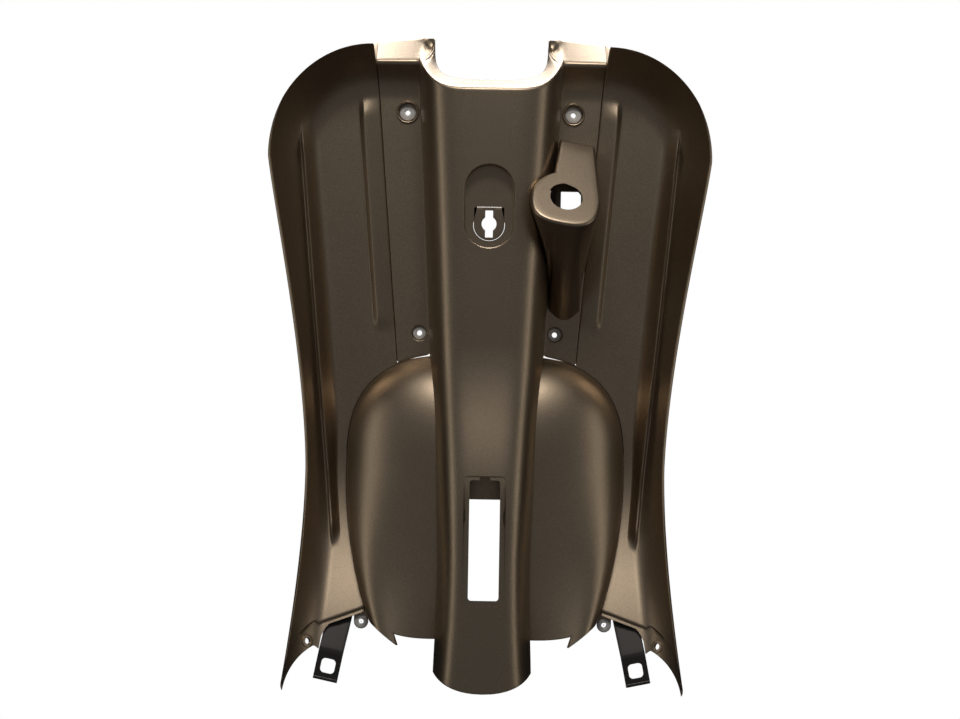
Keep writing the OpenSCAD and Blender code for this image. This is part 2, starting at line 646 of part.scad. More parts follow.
module wheel_arch() {
    side = [0, 0.22, 0.42, 0.56, 0.7, 0.8, 0.88, 0.94, 0.98, 1];
    half = concat([for (s = side) [s, 0]], [[1, 0.02], [1, 0.5], [1, 1]]);
    columns = concat([for (k = [len(half) - 1 : -1 : 1]) [-half[k][0], -half[k][1]]], half);
    up = [0.97, 0.94, 0.89, 0.82, 0.72, 0.58, 0.4, 0.2];
    down = [0, 0.16, 0.32, 0.48, 0.64, 0.8, 0.92, 1];
    place = function (c, i)
        let (z = i < len(up) ? -arch_mid_drop + arch_h * up[i]
                : i < len(up) + len(down) ? mix(-arch_mid_drop, arch_foot(c[0]), down[i - len(up)])
                : arch_foot(c[0]) - 15 * max(0, 1 - max(0, abs(c[0]) - 0.8) / 0.19),
             p = [c[0] * arch_w(z), z], out = arch_out(p[0], z),
             edge = abs(c[0]) < 1 ? 0 : groove_w + lap_gap)
        p - out * edge + [c[1] * arch_lap_w, 0];
    depth = function (c, p) c[1] == 0 ? arch_d(p[0], p[1]) : panel_back(abs(p[0]), p[1]) - 1.5 * lap_gap;
    rows = len(up) + len(down) + 1;
    front = [for (i = [0 : rows - 1]) [for (c = columns) let (p = place(c, i)) [p[0], -depth(c, p), p[1]]]];
    back = [for (i = [0 : rows - 1]) [for (c = columns)
        let (p = place(c, i), out = arch_out(p[0], p[1]),
             steep = abs(c[1]) > 0.4 ? 0 : ease((arch_ratio(p[0], p[1]) - 0.55) / 0.4))
        [p[0] - out[0] * steep * sheet_t * 0.9, -depth(c, p) + sheet_t * (1 - 0.4 * steep),
         p[1] - out[1] * steep * sheet_t * 0.9]]];
    keep = function (i, j)
        i < rows - 2 || (min(abs(columns[j][0]), abs(columns[j + 1][0])) >= 0.79
            && max(abs(columns[j][0]), abs(columns[j + 1][0])) < 0.99);
    color(paint) difference() {
        sheet(front, back, keep);
        translate([0, -arch_rise / 2, 0]) rotate([90, 0, 0]) linear_extrude(arch_rise)
            translate([-arch_window_w / 2, -arch_window_end_drop])
                square([arch_window_w, arch_window_end_drop - arch_window_drop]);
    }
}

module hook_plate() {
    color(paint) translate([0, -recess_floor_d, -plate_drop]) rotate([90, 0, 0]) linear_extrude(plate_t) difference() {
        plate_shape(0);
        circle(d = key_d, $fn = 48);
        square([key_slot_w, key_slot_h], center = true);
    }
}

// Collar with a head and a sleeve, the head's face at the origin
module collar(head_d, seat) {
    r = collar_bore / 2;
    color(metal) rotate([90, 0, 0]) translate([0, 0, collar_head_t]) mirror([0, 0, 1]) rotate_extrude($fn = 48) union() {
        translate([r, 0]) square([head_d / 2 - r, collar_head_t]);
        translate([r, 0]) square([collar_wall, collar_head_t + seat + collar_tail]);
    }
}
module upper_collar_left() translate([-upper_screw_x, 0, 0]) collar(upper_well_d - 3, well_floor_t);
module upper_collar_right() translate([upper_screw_x, 0, 0]) collar(upper_well_d - 3, well_floor_t);
module lower_collar_left() translate([-lower_screw_x, 0, -lower_screw_drop]) collar(lower_well_d - 2, well_floor_t);
module lower_collar_right() translate([lower_screw_x, 0, -lower_screw_drop]) collar(lower_well_d - 2, well_floor_t);
module tab_collar_left() translate([-tab_screw_x, -tab_d, -tab_screw_drop]) collar(tab_w - 1, tab_t);
module tab_collar_right() translate([tab_screw_x, -tab_d, -tab_screw_drop]) collar(tab_w - 1, tab_t);

// Lock housing: the face lies in its own tilted frame, x to the right and y up its slope
module lock_frame() translate([lock_x, -lock_d, -lock_drop]) rotate([0, lock_turn, 0]) rotate([90 - lock_tilt, 0, 0]) children();
face_t = 3;
module lock_face_shape() {
    circle(r = lock_face_r, $fn = 72);
    translate([arm_shift - arm_w / 2, 0]) square([arm_w, arm_l]);
}

// Border of the face in its own frame, once round from the arm's top right corner
border_n = 22;
function face_border(inset) =
    let (r = lock_face_r - inset, a = arm_w / 2 - inset, side = acos((a + arm_shift) / r), left = 180 - acos((a - arm_shift) / r))
    concat(
        [for (f = [0, 0.4, 0.8]) [a + arm_shift, mix(arm_l - inset, r * sin(side), f)]],
        [for (k = [0 : border_n]) let (t = mix(side, left - 360, k / border_n)) r * [cos(t), sin(t)]],
        [for (f = [0.8, 0.4, 0]) [arm_shift - a, mix(arm_l - inset, r * sin(left), f)]]);

// A place of the face's frame in the part's frame
function turn_face(p, w) =
    let (x = p[0], z = p[1] * cos(lock_tilt) + w * sin(lock_tilt), out = w * cos(lock_tilt) - p[1] * sin(lock_tilt))
    [lock_x + x * cos(lock_turn) + z * sin(lock_turn), -lock_d - out,
     -lock_drop - x * sin(lock_turn) + z * cos(lock_turn)];

// Depth of whatever lies behind the housing, with a clearance
function ground_d(x, z) =
    max(col_face(x - 4 * lap_gap, z) + 3 * lap_gap, panel_d(x, z) + lap_gap + 0.35 * max(0, x - seam_x(z) + 1));

// Foot of the housing's wall for a border place: straight back for the arm and the upper side, and drawn
// down along the strip and the column for the lower lip
function wall_foot(k, p, inset) =
    let (first = 3 + border_n * 0.215, last = 3 + border_n * 0.7,
         q = (k - first) / (last - first), low = -lock_end_drop + inset, right = 92 - inset,
         left = col_w(low) + 2 + inset)
    q <= 0 || q >= 1 ? [p[0], -ground_d(p[0], p[2]), p[2]]
    : q < 0.35 ? let (s = q / 0.35, x = mix(p[0], right, pow(s, 1.5)), z = mix(p[2], low + 10, s)) [x, -ground_d(x, z), z]
    : q < 0.6 ? let (a = (q - 0.35) / 0.25, x = mix(right, left, a), z = low + 10 - 10 * sin(180 * a))
        [x, -ground_d(x, z), z]
    : let (s = (q - 0.6) / 0.4, z = mix(low + 10, p[2], s), x = mix(left, p[0], s * s))
        [x, -ground_d(x, z), z];

module lock_wall() {
    outer = [for (p = face_border(0.4)) turn_face(p, -face_t / 2)];
    inner = [for (p = face_border(0.4 + sheet_t)) turn_face(p, -face_t / 2)];
    n = len(outer);
    shares = [0, 0.2, 0.4, 0.6, 0.8, 1];
    ring = function (edge, inset, f)
        [for (k = [n - 1 : -1 : 0])
            let (foot = wall_foot(k, edge[k], inset), p = mix(edge[k], foot, f))
            [p[0], f == 0 ? p[1] : min(p[1], -ground_d(p[0], p[2])), p[2]]];
    sheet([for (f = shares) ring(outer, 0, f)], [for (f = shares) ring(inner, sheet_t, f)], round = true);
}

module lock_housing() {
    color(paint) {
        lock_frame() translate([0, 0, -face_t]) linear_extrude(face_t) difference() {
            lock_face_shape();
            circle(r = lock_r, $fn = 72);
            intersection() {
                circle(r = lock_relief_r, $fn = 72);
                polygon([[0, 0], 60 * [cos(165), sin(165)], 60 * [cos(122), sin(122)], 60 * [cos(80), sin(80)]]);
            }
        }
        lock_wall();
    }
}

// Floor clip: a bent strip, drawn in profile as [forward, up] from its top end and as wide as the strip
function clip_line() =
    let (down = function (a) [sin(a), -cos(a)],
         bend = clip_upper_l * down(clip_slope),
         middle = bend - clip_bend_r * [cos(clip_slope), sin(clip_slope)],
         n = 8,
         arc = [for (k = [0 : n]) let (a = clip_slope - clip_turn * k / n) middle + clip_bend_r * [cos(a), sin(a)]],
         last = clip_slope - clip_turn)
    concat([[0, 0]], arc, [arc[n] + clip_lower_l * down(last)]);
function clip_profile() =
    let (line = clip_line(), n = len(line) - 1, last = clip_slope - clip_turn,
         side = [for (k = [0 : n]) let (a = k == 0 ? clip_slope : k == n ? last : clip_slope - clip_turn * (k - 1) / (n - 2)) [cos(a), sin(a)]])
    concat(line, [for (k = [n : -1 : 0]) line[k] - clip_t * side[k]]);

// The clip's top end lies behind the side panel. It comes nearest at the panel's foot flange.
clip_top_drop = arch_corner_drop - clip_tuck;
clip_reach = 25;
clip_start_d = panel_d(clip_x, -clip_top_drop - clip_reach) - flange_back - sheet_t * 1.15 - 2.6
    - clip_reach * tan(clip_slope);
module clip_frame() translate([clip_x, -clip_start_d, -clip_top_drop]) rotate([0, -clip_lean, 0]) children();

module floor_clip() {
    color(plain_plastic) difference() {
        clip_frame() floor_clip_strip();
        clip_screw_frame() cylinder(d = screw_d + 0.6, h = 20, center = true, $fn = 32);
    }
}
// Frame of the screw that holds a clip, on the clip's front face and square to it
clip_screw_l = 11;
module clip_screw_frame() clip_frame()
    translate([0, -clip_screw_l * sin(clip_slope), -clip_screw_l * cos(clip_slope)])
        rotate([90 - clip_slope, 0, 0]) children();
boss_h = 6;
module clip_screw() {
    color(metal) clip_screw_frame() mirror([0, 0, 1]) {
        translate([0, 0, clip_t]) cylinder(d = screw_head_d, h = 1, $fn = 32);
        translate([0, 0, clip_t]) cylinder(d = screw_d + 2.4, h = 2.6, $fn = 32);
        translate([0, 0, -boss_h + 2]) cylinder(d = screw_d - 1.02, h = boss_h + clip_t, $fn = 32);
    }
}
module clip_screw_left() mirror([1, 0, 0]) clip_screw();
module clip_screw_right() clip_screw();
module floor_clip_strip() {
    line = clip_line();
    end = line[len(line) - 1];
    last = clip_slope - clip_turn;
    difference() {
        union() {
            translate([-clip_w / 2, 0, 0]) rotate([90, 0, 90]) linear_extrude(clip_w)
                polygon([for (p = clip_profile()) [-p[0], p[1]]]);
            translate([-clip_w / 2, -end[0] + clip_t / 2, end[1]]) rotate([0, 90, 0])
                cylinder(r = clip_t * 0.8, h = clip_w, $fn = 32);
        }
        // Slot for the floor screw
        translate([0, -end[0] + 20, end[1] + 6]) rotate([90, 0, 0]) linear_extrude(60) {
            r = 4;
            for (x = [-1, 1]) translate([x * (clip_slot_w / 2 - r), r]) circle(r = r, $fn = 32);
            for (x = [-1, 1]) translate([x * (clip_slot_w / 2 - r), clip_slot_h - r]) circle(r = r, $fn = 32);
            translate([-clip_slot_w / 2, r]) square([clip_slot_w, clip_slot_h - 2 * r]);
            translate([-clip_slot_w / 2 + r, 0]) square([clip_slot_w - 2 * r, clip_slot_h]);
        }
    }
}
module floor_clip_left() mirror([1, 0, 0]) floor_clip();
module floor_clip_right() floor_clip();

wing_left();
wing_right();
centre_cover();
wheel_arch();
hook_plate();
lock_housing();
upper_collar_left();
upper_collar_right();
lower_collar_left();
lower_collar_right();
tab_collar_left();
tab_collar_right();
floor_clip_left();
floor_clip_right();
clip_screw_left();
clip_screw_right();
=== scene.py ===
import math

import bmesh
import bpy
import numpy as np
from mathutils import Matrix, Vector


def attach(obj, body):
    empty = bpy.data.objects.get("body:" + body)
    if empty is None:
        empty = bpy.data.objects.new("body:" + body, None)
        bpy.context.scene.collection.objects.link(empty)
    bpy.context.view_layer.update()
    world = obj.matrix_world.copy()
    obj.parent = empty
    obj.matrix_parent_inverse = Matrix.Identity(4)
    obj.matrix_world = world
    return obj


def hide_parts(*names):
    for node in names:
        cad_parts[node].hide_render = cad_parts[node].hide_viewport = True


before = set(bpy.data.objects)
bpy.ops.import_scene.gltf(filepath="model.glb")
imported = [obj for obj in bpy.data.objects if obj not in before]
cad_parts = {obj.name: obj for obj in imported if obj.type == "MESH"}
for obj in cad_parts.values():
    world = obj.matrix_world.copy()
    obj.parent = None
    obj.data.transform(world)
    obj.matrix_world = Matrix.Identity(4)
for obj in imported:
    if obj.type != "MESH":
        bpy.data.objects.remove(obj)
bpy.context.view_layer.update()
print("frame loaded")

# Lengths in this file are millimetres; buildMesh turns them into metres.
# x runs to the right as the rider looks, y away from the rider and z up.
# A depth is measured towards the rider.


def mix(a, b, t):
    # straight line from a to b
    return a + (b - a) * t


def ease(t):
    # 3t^2 - 2t^3 between 0 and 1
    c = np.clip(t, 0, 1)
    return c * c * (3 - 2 * c)


def spread(stops, counts):
    # values that run through the stops, with that many equal steps between each two
    parts = [np.linspace(a, b, n, endpoint=False) for a, b, n in zip(stops[:-1], stops[1:], counts)]
    return np.concatenate(parts + [np.array([stops[-1]])])


# shapes shared by the panels

outline = dict(shoulderHalf=217, shoulderZ=-49, rimTop=60.5, waistHalf=177, waistZ=-357, tipHalf=191,
               tipZ=-557, seamTop=115, seamLow=89, turnPower=1.6, turnEnd=1.15)
sheetWall = dict(thickness=2.5, steepLimit=2.4, lapGap=0.3, groove=1.0, lapWidth=13)
rim = dict(topRise=50, topBand=44, waistRise=30, waistBand=32, footRise=80, footZ=-340, footRun=260,
           wellDepth=4)
arch = dict(half=138, midZ=-360, height=120, draw=23, cornerZ=-488, footZ=-516, endZ=-500, finFrom=0.81,
            finHeight=11, rise=66, power=3, sidePower=2.2, lap=9, seamShare=0.9, windowHalf=17,
            windowLowZ=-492, windowTopZ=-381, windowCorner=2)
archTop = arch["midZ"] + arch["height"]
seamEnd = arch["midZ"] + arch["height"] * arch["seamShare"]
cornerA = outline["shoulderHalf"] - outline["seamTop"]
cornerH = outline["rimTop"] - outline["shoulderZ"]


def outlineX(z):
    # quarter ellipse over the shoulders, a powered curve to the waist, a parabola to the tips
    o = outline
    top = o["seamTop"] + cornerA * np.sqrt(np.maximum(0, 1 - ((z - o["shoulderZ"]) / cornerH) ** 2))
    s = np.clip((z - o["waistZ"]) / (o["shoulderZ"] - o["waistZ"]), 0, 1)
    side = mix(o["waistHalf"], o["shoulderHalf"], 1 - (1 - s ** o["turnPower"]) ** o["turnEnd"])
    foot = mix(o["waistHalf"], o["tipHalf"], ((o["waistZ"] - z) / (o["waistZ"] - o["tipZ"])) ** 2)
    return np.where(z > o["shoulderZ"], top, np.where(z > o["waistZ"], side, foot))


def outlineZ(x):
    # height of the same quarter ellipse at a distance from the middle
    u = np.maximum(0, x - outline["seamTop"]) / cornerA
    return outline["shoulderZ"] + cornerH * np.sqrt(np.maximum(0, 1 - u ** 2))


def rimGap(x, z):
    # distance to the outline, inwards
    u = np.maximum(0, x - outline["seamTop"]) / cornerA
    v = (z - outline["shoulderZ"]) / cornerH
    return np.where(z > outline["shoulderZ"], (1 - np.hypot(u, v)) * cornerA, outlineX(z) - x)


def footSweep(z):
    # the foot comes forward along an s curve
    return rim["wellDepth"] + rim["footRise"] * ease((-z + rim["footZ"]) / rim["footRun"])


def panelDepth(x, z):
    # a rim that curls forward with the square of the nearness to the outline, plus the foot sweep
    up = ease((z - outline["waistZ"]) / (outline["shoulderZ"] - outline["waistZ"]))
    band = mix(rim["waistBand"], rim["topBand"], up)
    near = np.maximum(0, 1 - np.maximum(0, rimGap(x, z)) / band)
    return mix(rim["waistRise"], rim["topRise"], up) * near ** 2 + footSweep(z)


def panelSlope(x, z):
    # steepness of the panel, by differences over a millimetre
    e = 0.5
    return np.hypot(panelDepth(x + e, z) - panelDepth(x - e, z), panelDepth(x, z + e) - panelDepth(x, z - e))


def backThickness(x, z):
    # thickness along the depth that keeps the wall even, with a limit where it is steep
    return sheetWall["thickness"] * np.minimum(sheetWall["steepLimit"], np.sqrt(1 + panelSlope(x, z) ** 2))


def panelBack(x, z):
    # depth of the panel's hidden side: its depth less its thickness
    return panelDepth(x, z) - backThickness(x, z)


def seamX(z):
    # straight line from the seam's foot to its top
    return mix(outline["seamLow"], outline["seamTop"], (z - seamEnd) / (outline["rimTop"] - seamEnd))


def archHalf(z):
    # superellipse above the arch's middle, a slow parabola below it
    up = np.clip((z - arch["midZ"]) / arch["height"], 0, 1)
    top = arch["half"] * (1 - up ** arch["power"]) ** (1 / arch["power"])
    low = arch["half"] - arch["draw"] * ((arch["midZ"] - z) / (arch["midZ"] - arch["cornerZ"])) ** 2
    return np.where(z > arch["midZ"], top, low)


def archRatio(x, z):
    # 0 in the middle of the arch and 1 on its outline
    p = arch["power"]
    up = np.maximum(0, (z - arch["midZ"]) / arch["height"])
    top = ((np.abs(x) / arch["half"]) ** p + up ** p) ** (1 / p)
    return np.where(z > arch["midZ"], top, np.abs(x) / np.maximum(1, archHalf(np.minimum(z, arch["midZ"]))))


def archDepth(x, z):
    # dome over the arch outline, blended into the foot sweep
    r = np.minimum(1, archRatio(x, z))
    return footSweep(z) * r * r + arch["rise"] * np.sqrt(np.maximum(0, 1 - r ** arch["sidePower"]))


# mesh helpers

def buildMesh(name, points, faceLists, flip=False):
    # points in millimetres and lists of quads or triangles become one mesh object
    mesh = bpy.data.meshes.new(name)
    pts = np.asarray(points, float).reshape(-1, 3) * 0.001
    loops, starts, at = [], [], 0
    for faces in faceLists:
        faces = np.asarray(faces, int)
        if not len(faces):
            continue
        if flip:
            faces = faces[:, ::-1]
        loops.append(faces.ravel())
        starts.append(at + np.arange(len(faces)) * faces.shape[1])
        at += faces.size
    loops, starts = np.concatenate(loops), np.concatenate(starts)
    mesh.vertices.add(len(pts))
    mesh.vertices.foreach_set("co", pts.ravel())
    mesh.loops.add(len(loops))
    mesh.loops.foreach_set("vertex_index", loops.astype(np.int32))
    mesh.polygons.add(len(starts))
    mesh.polygons.foreach_set("loop_start", starts.astype(np.int32))
    mesh.update(calc_edges=True)
    mesh.validate()
    piece = bpy.data.objects.new(name, mesh)
    bpy.context.scene.collection.objects.link(piece)
    return piece


def sheetFaces(rows, cols, keep=None):
    # quads of a closed sheet between two grids: front, back, and a wall along every border of the kept cells
    idx = np.arange(rows * cols).reshape(rows, cols)
    a, b, c, d = idx[:-1, :-1], idx[:-1, 1:], idx[1:, 1:], idx[1:, :-1]
    keep = np.ones(a.shape, bool) if keep is None else keep
    t = rows * cols
    pad = np.pad(keep, 1)
    up, down, left, right = pad[:-2, 1:-1], pad[2:, 1:-1], pad[1:-1, :-2], pad[1:-1, 2:]
    quads = [np.stack([a, d, c, b], -1)[keep], np.stack([a + t, b + t, c + t, d + t], -1)[keep]]
    for p, q, side in ((a, b, up), (b, c, right), (c, d, down), (d, a, left)):
        quads.append(np.stack([p, q, q + t, p + t], -1)[keep & ~side])
    return np.concatenate(quads)


def closedSheet(name, front, back, keep=None, flip=False):
    # front and back grids as one closed sheet, without the points that no face uses
    faces = sheetFaces(*front.shape[:2], keep)
    points = np.concatenate([front.reshape(-1, 3), back.reshape(-1, 3)])
    used, places = np.unique(faces, return_inverse=True)
    return buildMesh(name, points[used], [places.reshape(faces.shape)], flip)


def ringMesh(name, rings, closed=True, inward=False, flip=False):
    # quads between neighbouring rings of points, back to the first ring if closed, else with two end faces
    grid = np.stack(rings)
    rows, cols = grid.shape[:2]
    a = np.arange(rows * cols).reshape(rows, cols)
    b = np.roll(a, -1, axis=1)
    quads = np.stack([a, b, np.roll(b, -1, axis=0), np.roll(a, -1, axis=0)], -1)
    if inward:
        quads = quads[..., [0, 3, 2, 1]]
    ends = [] if closed else [a[:1, ::-1], a[-1:]]
    return buildMesh(name, grid, [(quads if closed else quads[:-1]).reshape(-1, 4)] + ends, flip)


def applyModifiers(piece):
    # what the modifiers make of the piece becomes its mesh
    graph = bpy.context.evaluated_depsgraph_get()
    mesh = bpy.data.meshes.new_from_object(piece.evaluated_get(graph))
    old = piece.data
    piece.modifiers.clear()
    piece.data = mesh
    bpy.data.meshes.remove(old)


def roundEdges(piece, width, segments=2, angle=50):
    # bevel of that width along each edge sharper than the angle
    bevel = piece.modifiers.new("roundEdges", "BEVEL")
    bevel.width = width * 0.001
    bevel.segments = segments
    bevel.limit_method = "ANGLE"
    bevel.angle_limit = math.radians(angle)
    bevel.use_clamp_overlap = False
    bevel.harden_normals = False
    applyModifiers(piece)


def cutWith(piece, cutter):
    # the piece less the cutter, which is removed
    cut = piece.modifiers.new("cut", "BOOLEAN")
    cut.operation = "DIFFERENCE"
    cut.solver = "EXACT"
    cut.object = cutter
    applyModifiers(piece)
    bpy.data.objects.remove(cutter)


def joinPieces(piece, others):
    # all the meshes in the first piece, each still a closed shell of its own
    bm = bmesh.new()
    for o in [piece] + others:
        bm.from_mesh(o.data)
    bm.to_mesh(piece.data)
    bm.free()
    for o in others:
        bpy.data.objects.remove(o)


def smooth(piece, angle=32):
    # smooth shading, with the edges sharper than the angle left sharp
    mesh = piece.data
    mesh.polygons.foreach_set("use_smooth", np.ones(len(mesh.polygons), bool))
    mesh.set_sharp_from_angle(angle=math.radians(angle))
    mesh.update()


def prism(name, outlinePoints, y0, y1):
    # closed outline in x and z, carried straight along y
    p = np.asarray(outlinePoints, float)
    n = len(p)
    pts = np.concatenate([np.column_stack([p[:, 0], np.full(n, y), p[:, 1]]) for y in sorted((y0, y1))])
    i = np.arange(n)
    j = (i + 1) % n
    walls = np.stack([i, j, j + n, i + n], -1)
    ends = [np.array([i[::-1]]), np.array([i + n])]
    area = np.sum(p[:, 0] * np.roll(p[:, 1], -1) - np.roll(p[:, 0], -1) * p[:, 1])
    return buildMesh(name, pts, [walls] + ends, flip=area > 0)


def arcPoints(cx, cz, r, start, end, n):
    # centre + r (cos a, sin a) between two angles in degrees
    a = np.radians(np.linspace(start, end, n))
    return np.column_stack([cx + r * np.cos(a), cz + r * np.sin(a)])


def roundedBox(x0, z0, x1, z1, r, n=7):
    # rectangle with round corners, once round
    corners = ((x1 - r, z1 - r), (x0 + r, z1 - r), (x0 + r, z0 + r), (x1 - r, z0 + r))
    return np.concatenate([arcPoints(x, z, r, 90 * i, 90 * i + 90, n) for i, (x, z) in enumerate(corners)])


def turned(name, profile, place, axis=(0, -1, 0), sides=64):
    # closed profile of radius and height, turned round an axis through the place
    p = np.asarray(profile, float)
    w = np.array(axis, float) / np.linalg.norm(axis)
    u = np.cross(w, (0, 0, 1.0))
    u /= np.linalg.norm(u)
    v = np.cross(w, u)
    a = np.linspace(0, 2 * np.pi, sides, endpoint=False)
    ring = np.cos(a)[:, None] * u + np.sin(a)[:, None] * v
    points = np.asarray(place, float) + p[None, :, 0:1] * ring[:, None, :] + p[None, :, 1:2] * w
    return ringMesh(name, points, inward=True)


def cylinderCutter(name, place, axis, radius, length):
    # closed cylinder with its middle at the place
    profile = [(0.001, -length / 2), (radius, -length / 2), (radius, length / 2), (0.001, length / 2)]
    return turned(name, profile, place, axis, 48)


def cornerCurve(before, corner, after, n=5):
    # quadratic curve that rounds a corner: (1-u)^2 before + 2u(1-u) corner + u^2 after
    u = np.linspace(0, 1, n).reshape((n,) + (1,) * before.ndim)
    return (1 - u) ** 2 * before + 2 * u * (1 - u) * corner + u ** 2 * after


# materials

def makeGroup(name, inputs, outputs):
    # node group with named sockets, and its input and output nodes
    group = bpy.data.node_groups.new(name, "ShaderNodeTree")
    for socketName, kind, value in inputs:
        socket = group.interface.new_socket(name=socketName, in_out="INPUT", socket_type=kind)
        if value is not None:
            socket.default_value = value
    for socketName, kind in outputs:
        group.interface.new_socket(name=socketName, in_out="OUTPUT", socket_type=kind)
    return group, group.nodes.new("NodeGroupInput"), group.nodes.new("NodeGroupOutput")


def mathNode(tree, operation, first, second=None, third=None):
    # one math node: numbers are typed into its sockets, anything else is linked to them
    node = tree.nodes.new("ShaderNodeMath")
    node.operation = operation
    for socket, value in zip(node.inputs, (first, second, third)):
        if value is None:
            continue
        if isinstance(value, (int, float)):
            socket.default_value = value
        else:
            tree.links.new(value, socket)
    return node.outputs[0]


def noiseNode(tree, vector, scale, detail=2.0, roughness=0.5):
    # noise over the vector, between 0 and 1
    node = tree.nodes.new("ShaderNodeTexNoise")
    node.inputs["Scale"].default_value = scale
    node.inputs["Detail"].default_value = detail
    node.inputs["Roughness"].default_value = roughness
    tree.links.new(vector, node.inputs["Vector"])
    return node.outputs["Fac"]


def finishGroup():
    # fine grain and slow clouding: a colour multiplier, a roughness and a normal, from object coordinates
    group, gIn, gOut = makeGroup("paintGrain", [
        ("Colour", "NodeSocketColor", (0.3, 0.25, 0.22, 1)), ("Grain scale", "NodeSocketFloat", 900.0),
        ("Grain share", "NodeSocketFloat", 0.2), ("Cloud share", "NodeSocketFloat", 0.1),
        ("Roughness", "NodeSocketFloat", 0.4), ("Bump", "NodeSocketFloat", 0.1)],
        [("Colour", "NodeSocketColor"), ("Roughness", "NodeSocketFloat"), ("Normal", "NodeSocketVector")])
    links = group.links
    coord = group.nodes.new("ShaderNodeTexCoord")
    place = coord.outputs["Object"]
    grain = group.nodes.new("ShaderNodeTexNoise")
    grain.inputs["Detail"].default_value = 3
    links.new(place, grain.inputs["Vector"])
    links.new(gIn.outputs["Grain scale"], grain.inputs["Scale"])
    cloud = noiseNode(group, place, 9, 3, 0.6)
    speck = mathNode(group, "MULTIPLY", mathNode(group, "SUBTRACT", grain.outputs["Fac"], 0.5),
                     gIn.outputs["Grain share"])
    drift = mathNode(group, "MULTIPLY", mathNode(group, "SUBTRACT", cloud, 0.5), gIn.outputs["Cloud share"])
    gain = mathNode(group, "ADD", mathNode(group, "ADD", speck, drift), 1.0)
    scaled = group.nodes.new("ShaderNodeVectorMath")
    scaled.operation = "SCALE"
    links.new(gIn.outputs["Colour"], scaled.inputs[0])
    links.new(gain, scaled.inputs["Scale"])
    links.new(scaled.outputs["Vector"], gOut.inputs["Colour"])
    rough = mathNode(group, "ADD", gIn.outputs["Roughness"], mathNode(group, "MULTIPLY", drift, 0.5))
    links.new(rough, gOut.inputs["Roughness"])
    bump = group.nodes.new("ShaderNodeBump")
    bump.inputs["Distance"].default_value = 0.0002
    links.new(gIn.outputs["Bump"], bump.inputs["Strength"])
    links.new(grain.outputs["Fac"], bump.inputs["Height"])
    links.new(bump.outputs["Normal"], gOut.inputs["Normal"])
    return group


grainGroup = finishGroup()


def makeMaterial(name, colour, metallic, roughness, grainScale, grainShare, cloudShare, bump):
    # one shader, with colour, roughness and normal from the grain group
    mat = bpy.data.materials.new(name)
    mat.use_nodes = True
    tree = mat.node_tree
    shader = tree.nodes["Principled BSDF"]
    shader.inputs["Metallic"].default_value = metallic
    grain = tree.nodes.new("ShaderNodeGroup")
    grain.node_tree = grainGroup
    grain.inputs["Colour"].default_value = (*colour, 1)
    grain.inputs["Grain scale"].default_value = grainScale
    grain.inputs["Grain share"].default_value = grainShare
    grain.inputs["Cloud share"].default_value = cloudShare
    grain.inputs["Roughness"].default_value = roughness
    grain.inputs["Bump"].default_value = bump
    tree.links.new(grain.outputs["Colour"], shader.inputs["Base Color"])
    tree.links.new(grain.outputs["Roughness"], shader.inputs["Roughness"])
    tree.links.new(grain.outputs["Normal"], shader.inputs["Normal"])
    return mat


finishes = dict(
    bronzePaint=makeMaterial("bronzePaint", (0.36, 0.29, 0.215), 1.0, 0.38, 1100, 0.8, 0.12, 0.4),
    darkPlastic=makeMaterial("darkPlastic", (0.06, 0.055, 0.052), 0.2, 0.36, 700, 0.15, 0.1, 0.08),
    zincSteel=makeMaterial("zincSteel", (0.86, 0.85, 0.83), 0.25, 0.35, 900, 0.12, 0.1, 0.06))
print("materials made")


def finishPiece(piece, node, finish, angle=32):
    # shading, material, and the node that the piece stands for
    smooth(piece, angle)
    piece.data.materials.clear()
    piece.data.materials.append(finishes[finish])
    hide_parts(node)
    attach(piece, "root")


# side panels

wing = dict(bladeHeight=10, bladeFace=13, bladeTopX=187, bladeLowX=149, bladeZ=-432, bladeTopZ=-12,
            bladeTopRun=34, bladeEndRun=22, bladeFall=1.8, bladeOut=9, bladeOutRun=72, crestFoot=15,
            stepHeight=5, stepZ=-218, stepTopZ=18, stepTopRun=26, stepEndRun=12, stepShare=0.21, stepFall=5,
            lipWidth=2.6, lipFall=1.4, rimFromZ=5, atSeamEnd=0.5, atArchMiddle=0.75, topPart=0.2,
            footFrom=0.85, footPart=0.15, bowX=7, bowZ=9, flangeSet=3, flangeDrop=24, flangeLeast=1.5,
            tabX=118.5, tabZ=-503, tabWidth=14, tabWall=3, tabHole=8, flangeHoleX=169, flangeHoleZ=-520,
            flangeHole=6, bossWidth=12.5, bossHeight=1.2, edgeRound=0.7)


def bladeX(z):
    # upright at the shoulder, a straight line down to the blade's end, then out with the square of the way
    w = wing
    zs = outline["shoulderZ"] / 2
    line = mix(w["bladeTopX"], w["bladeLowX"], (zs - z) / (zs - w["bladeZ"]))
    low = w["bladeLowX"] + w["bladeOut"] * ((w["bladeZ"] - z) / w["bladeOutRun"]) ** 2
    return np.where(z > zs, w["bladeTopX"], np.where(z > w["bladeZ"], line, low))


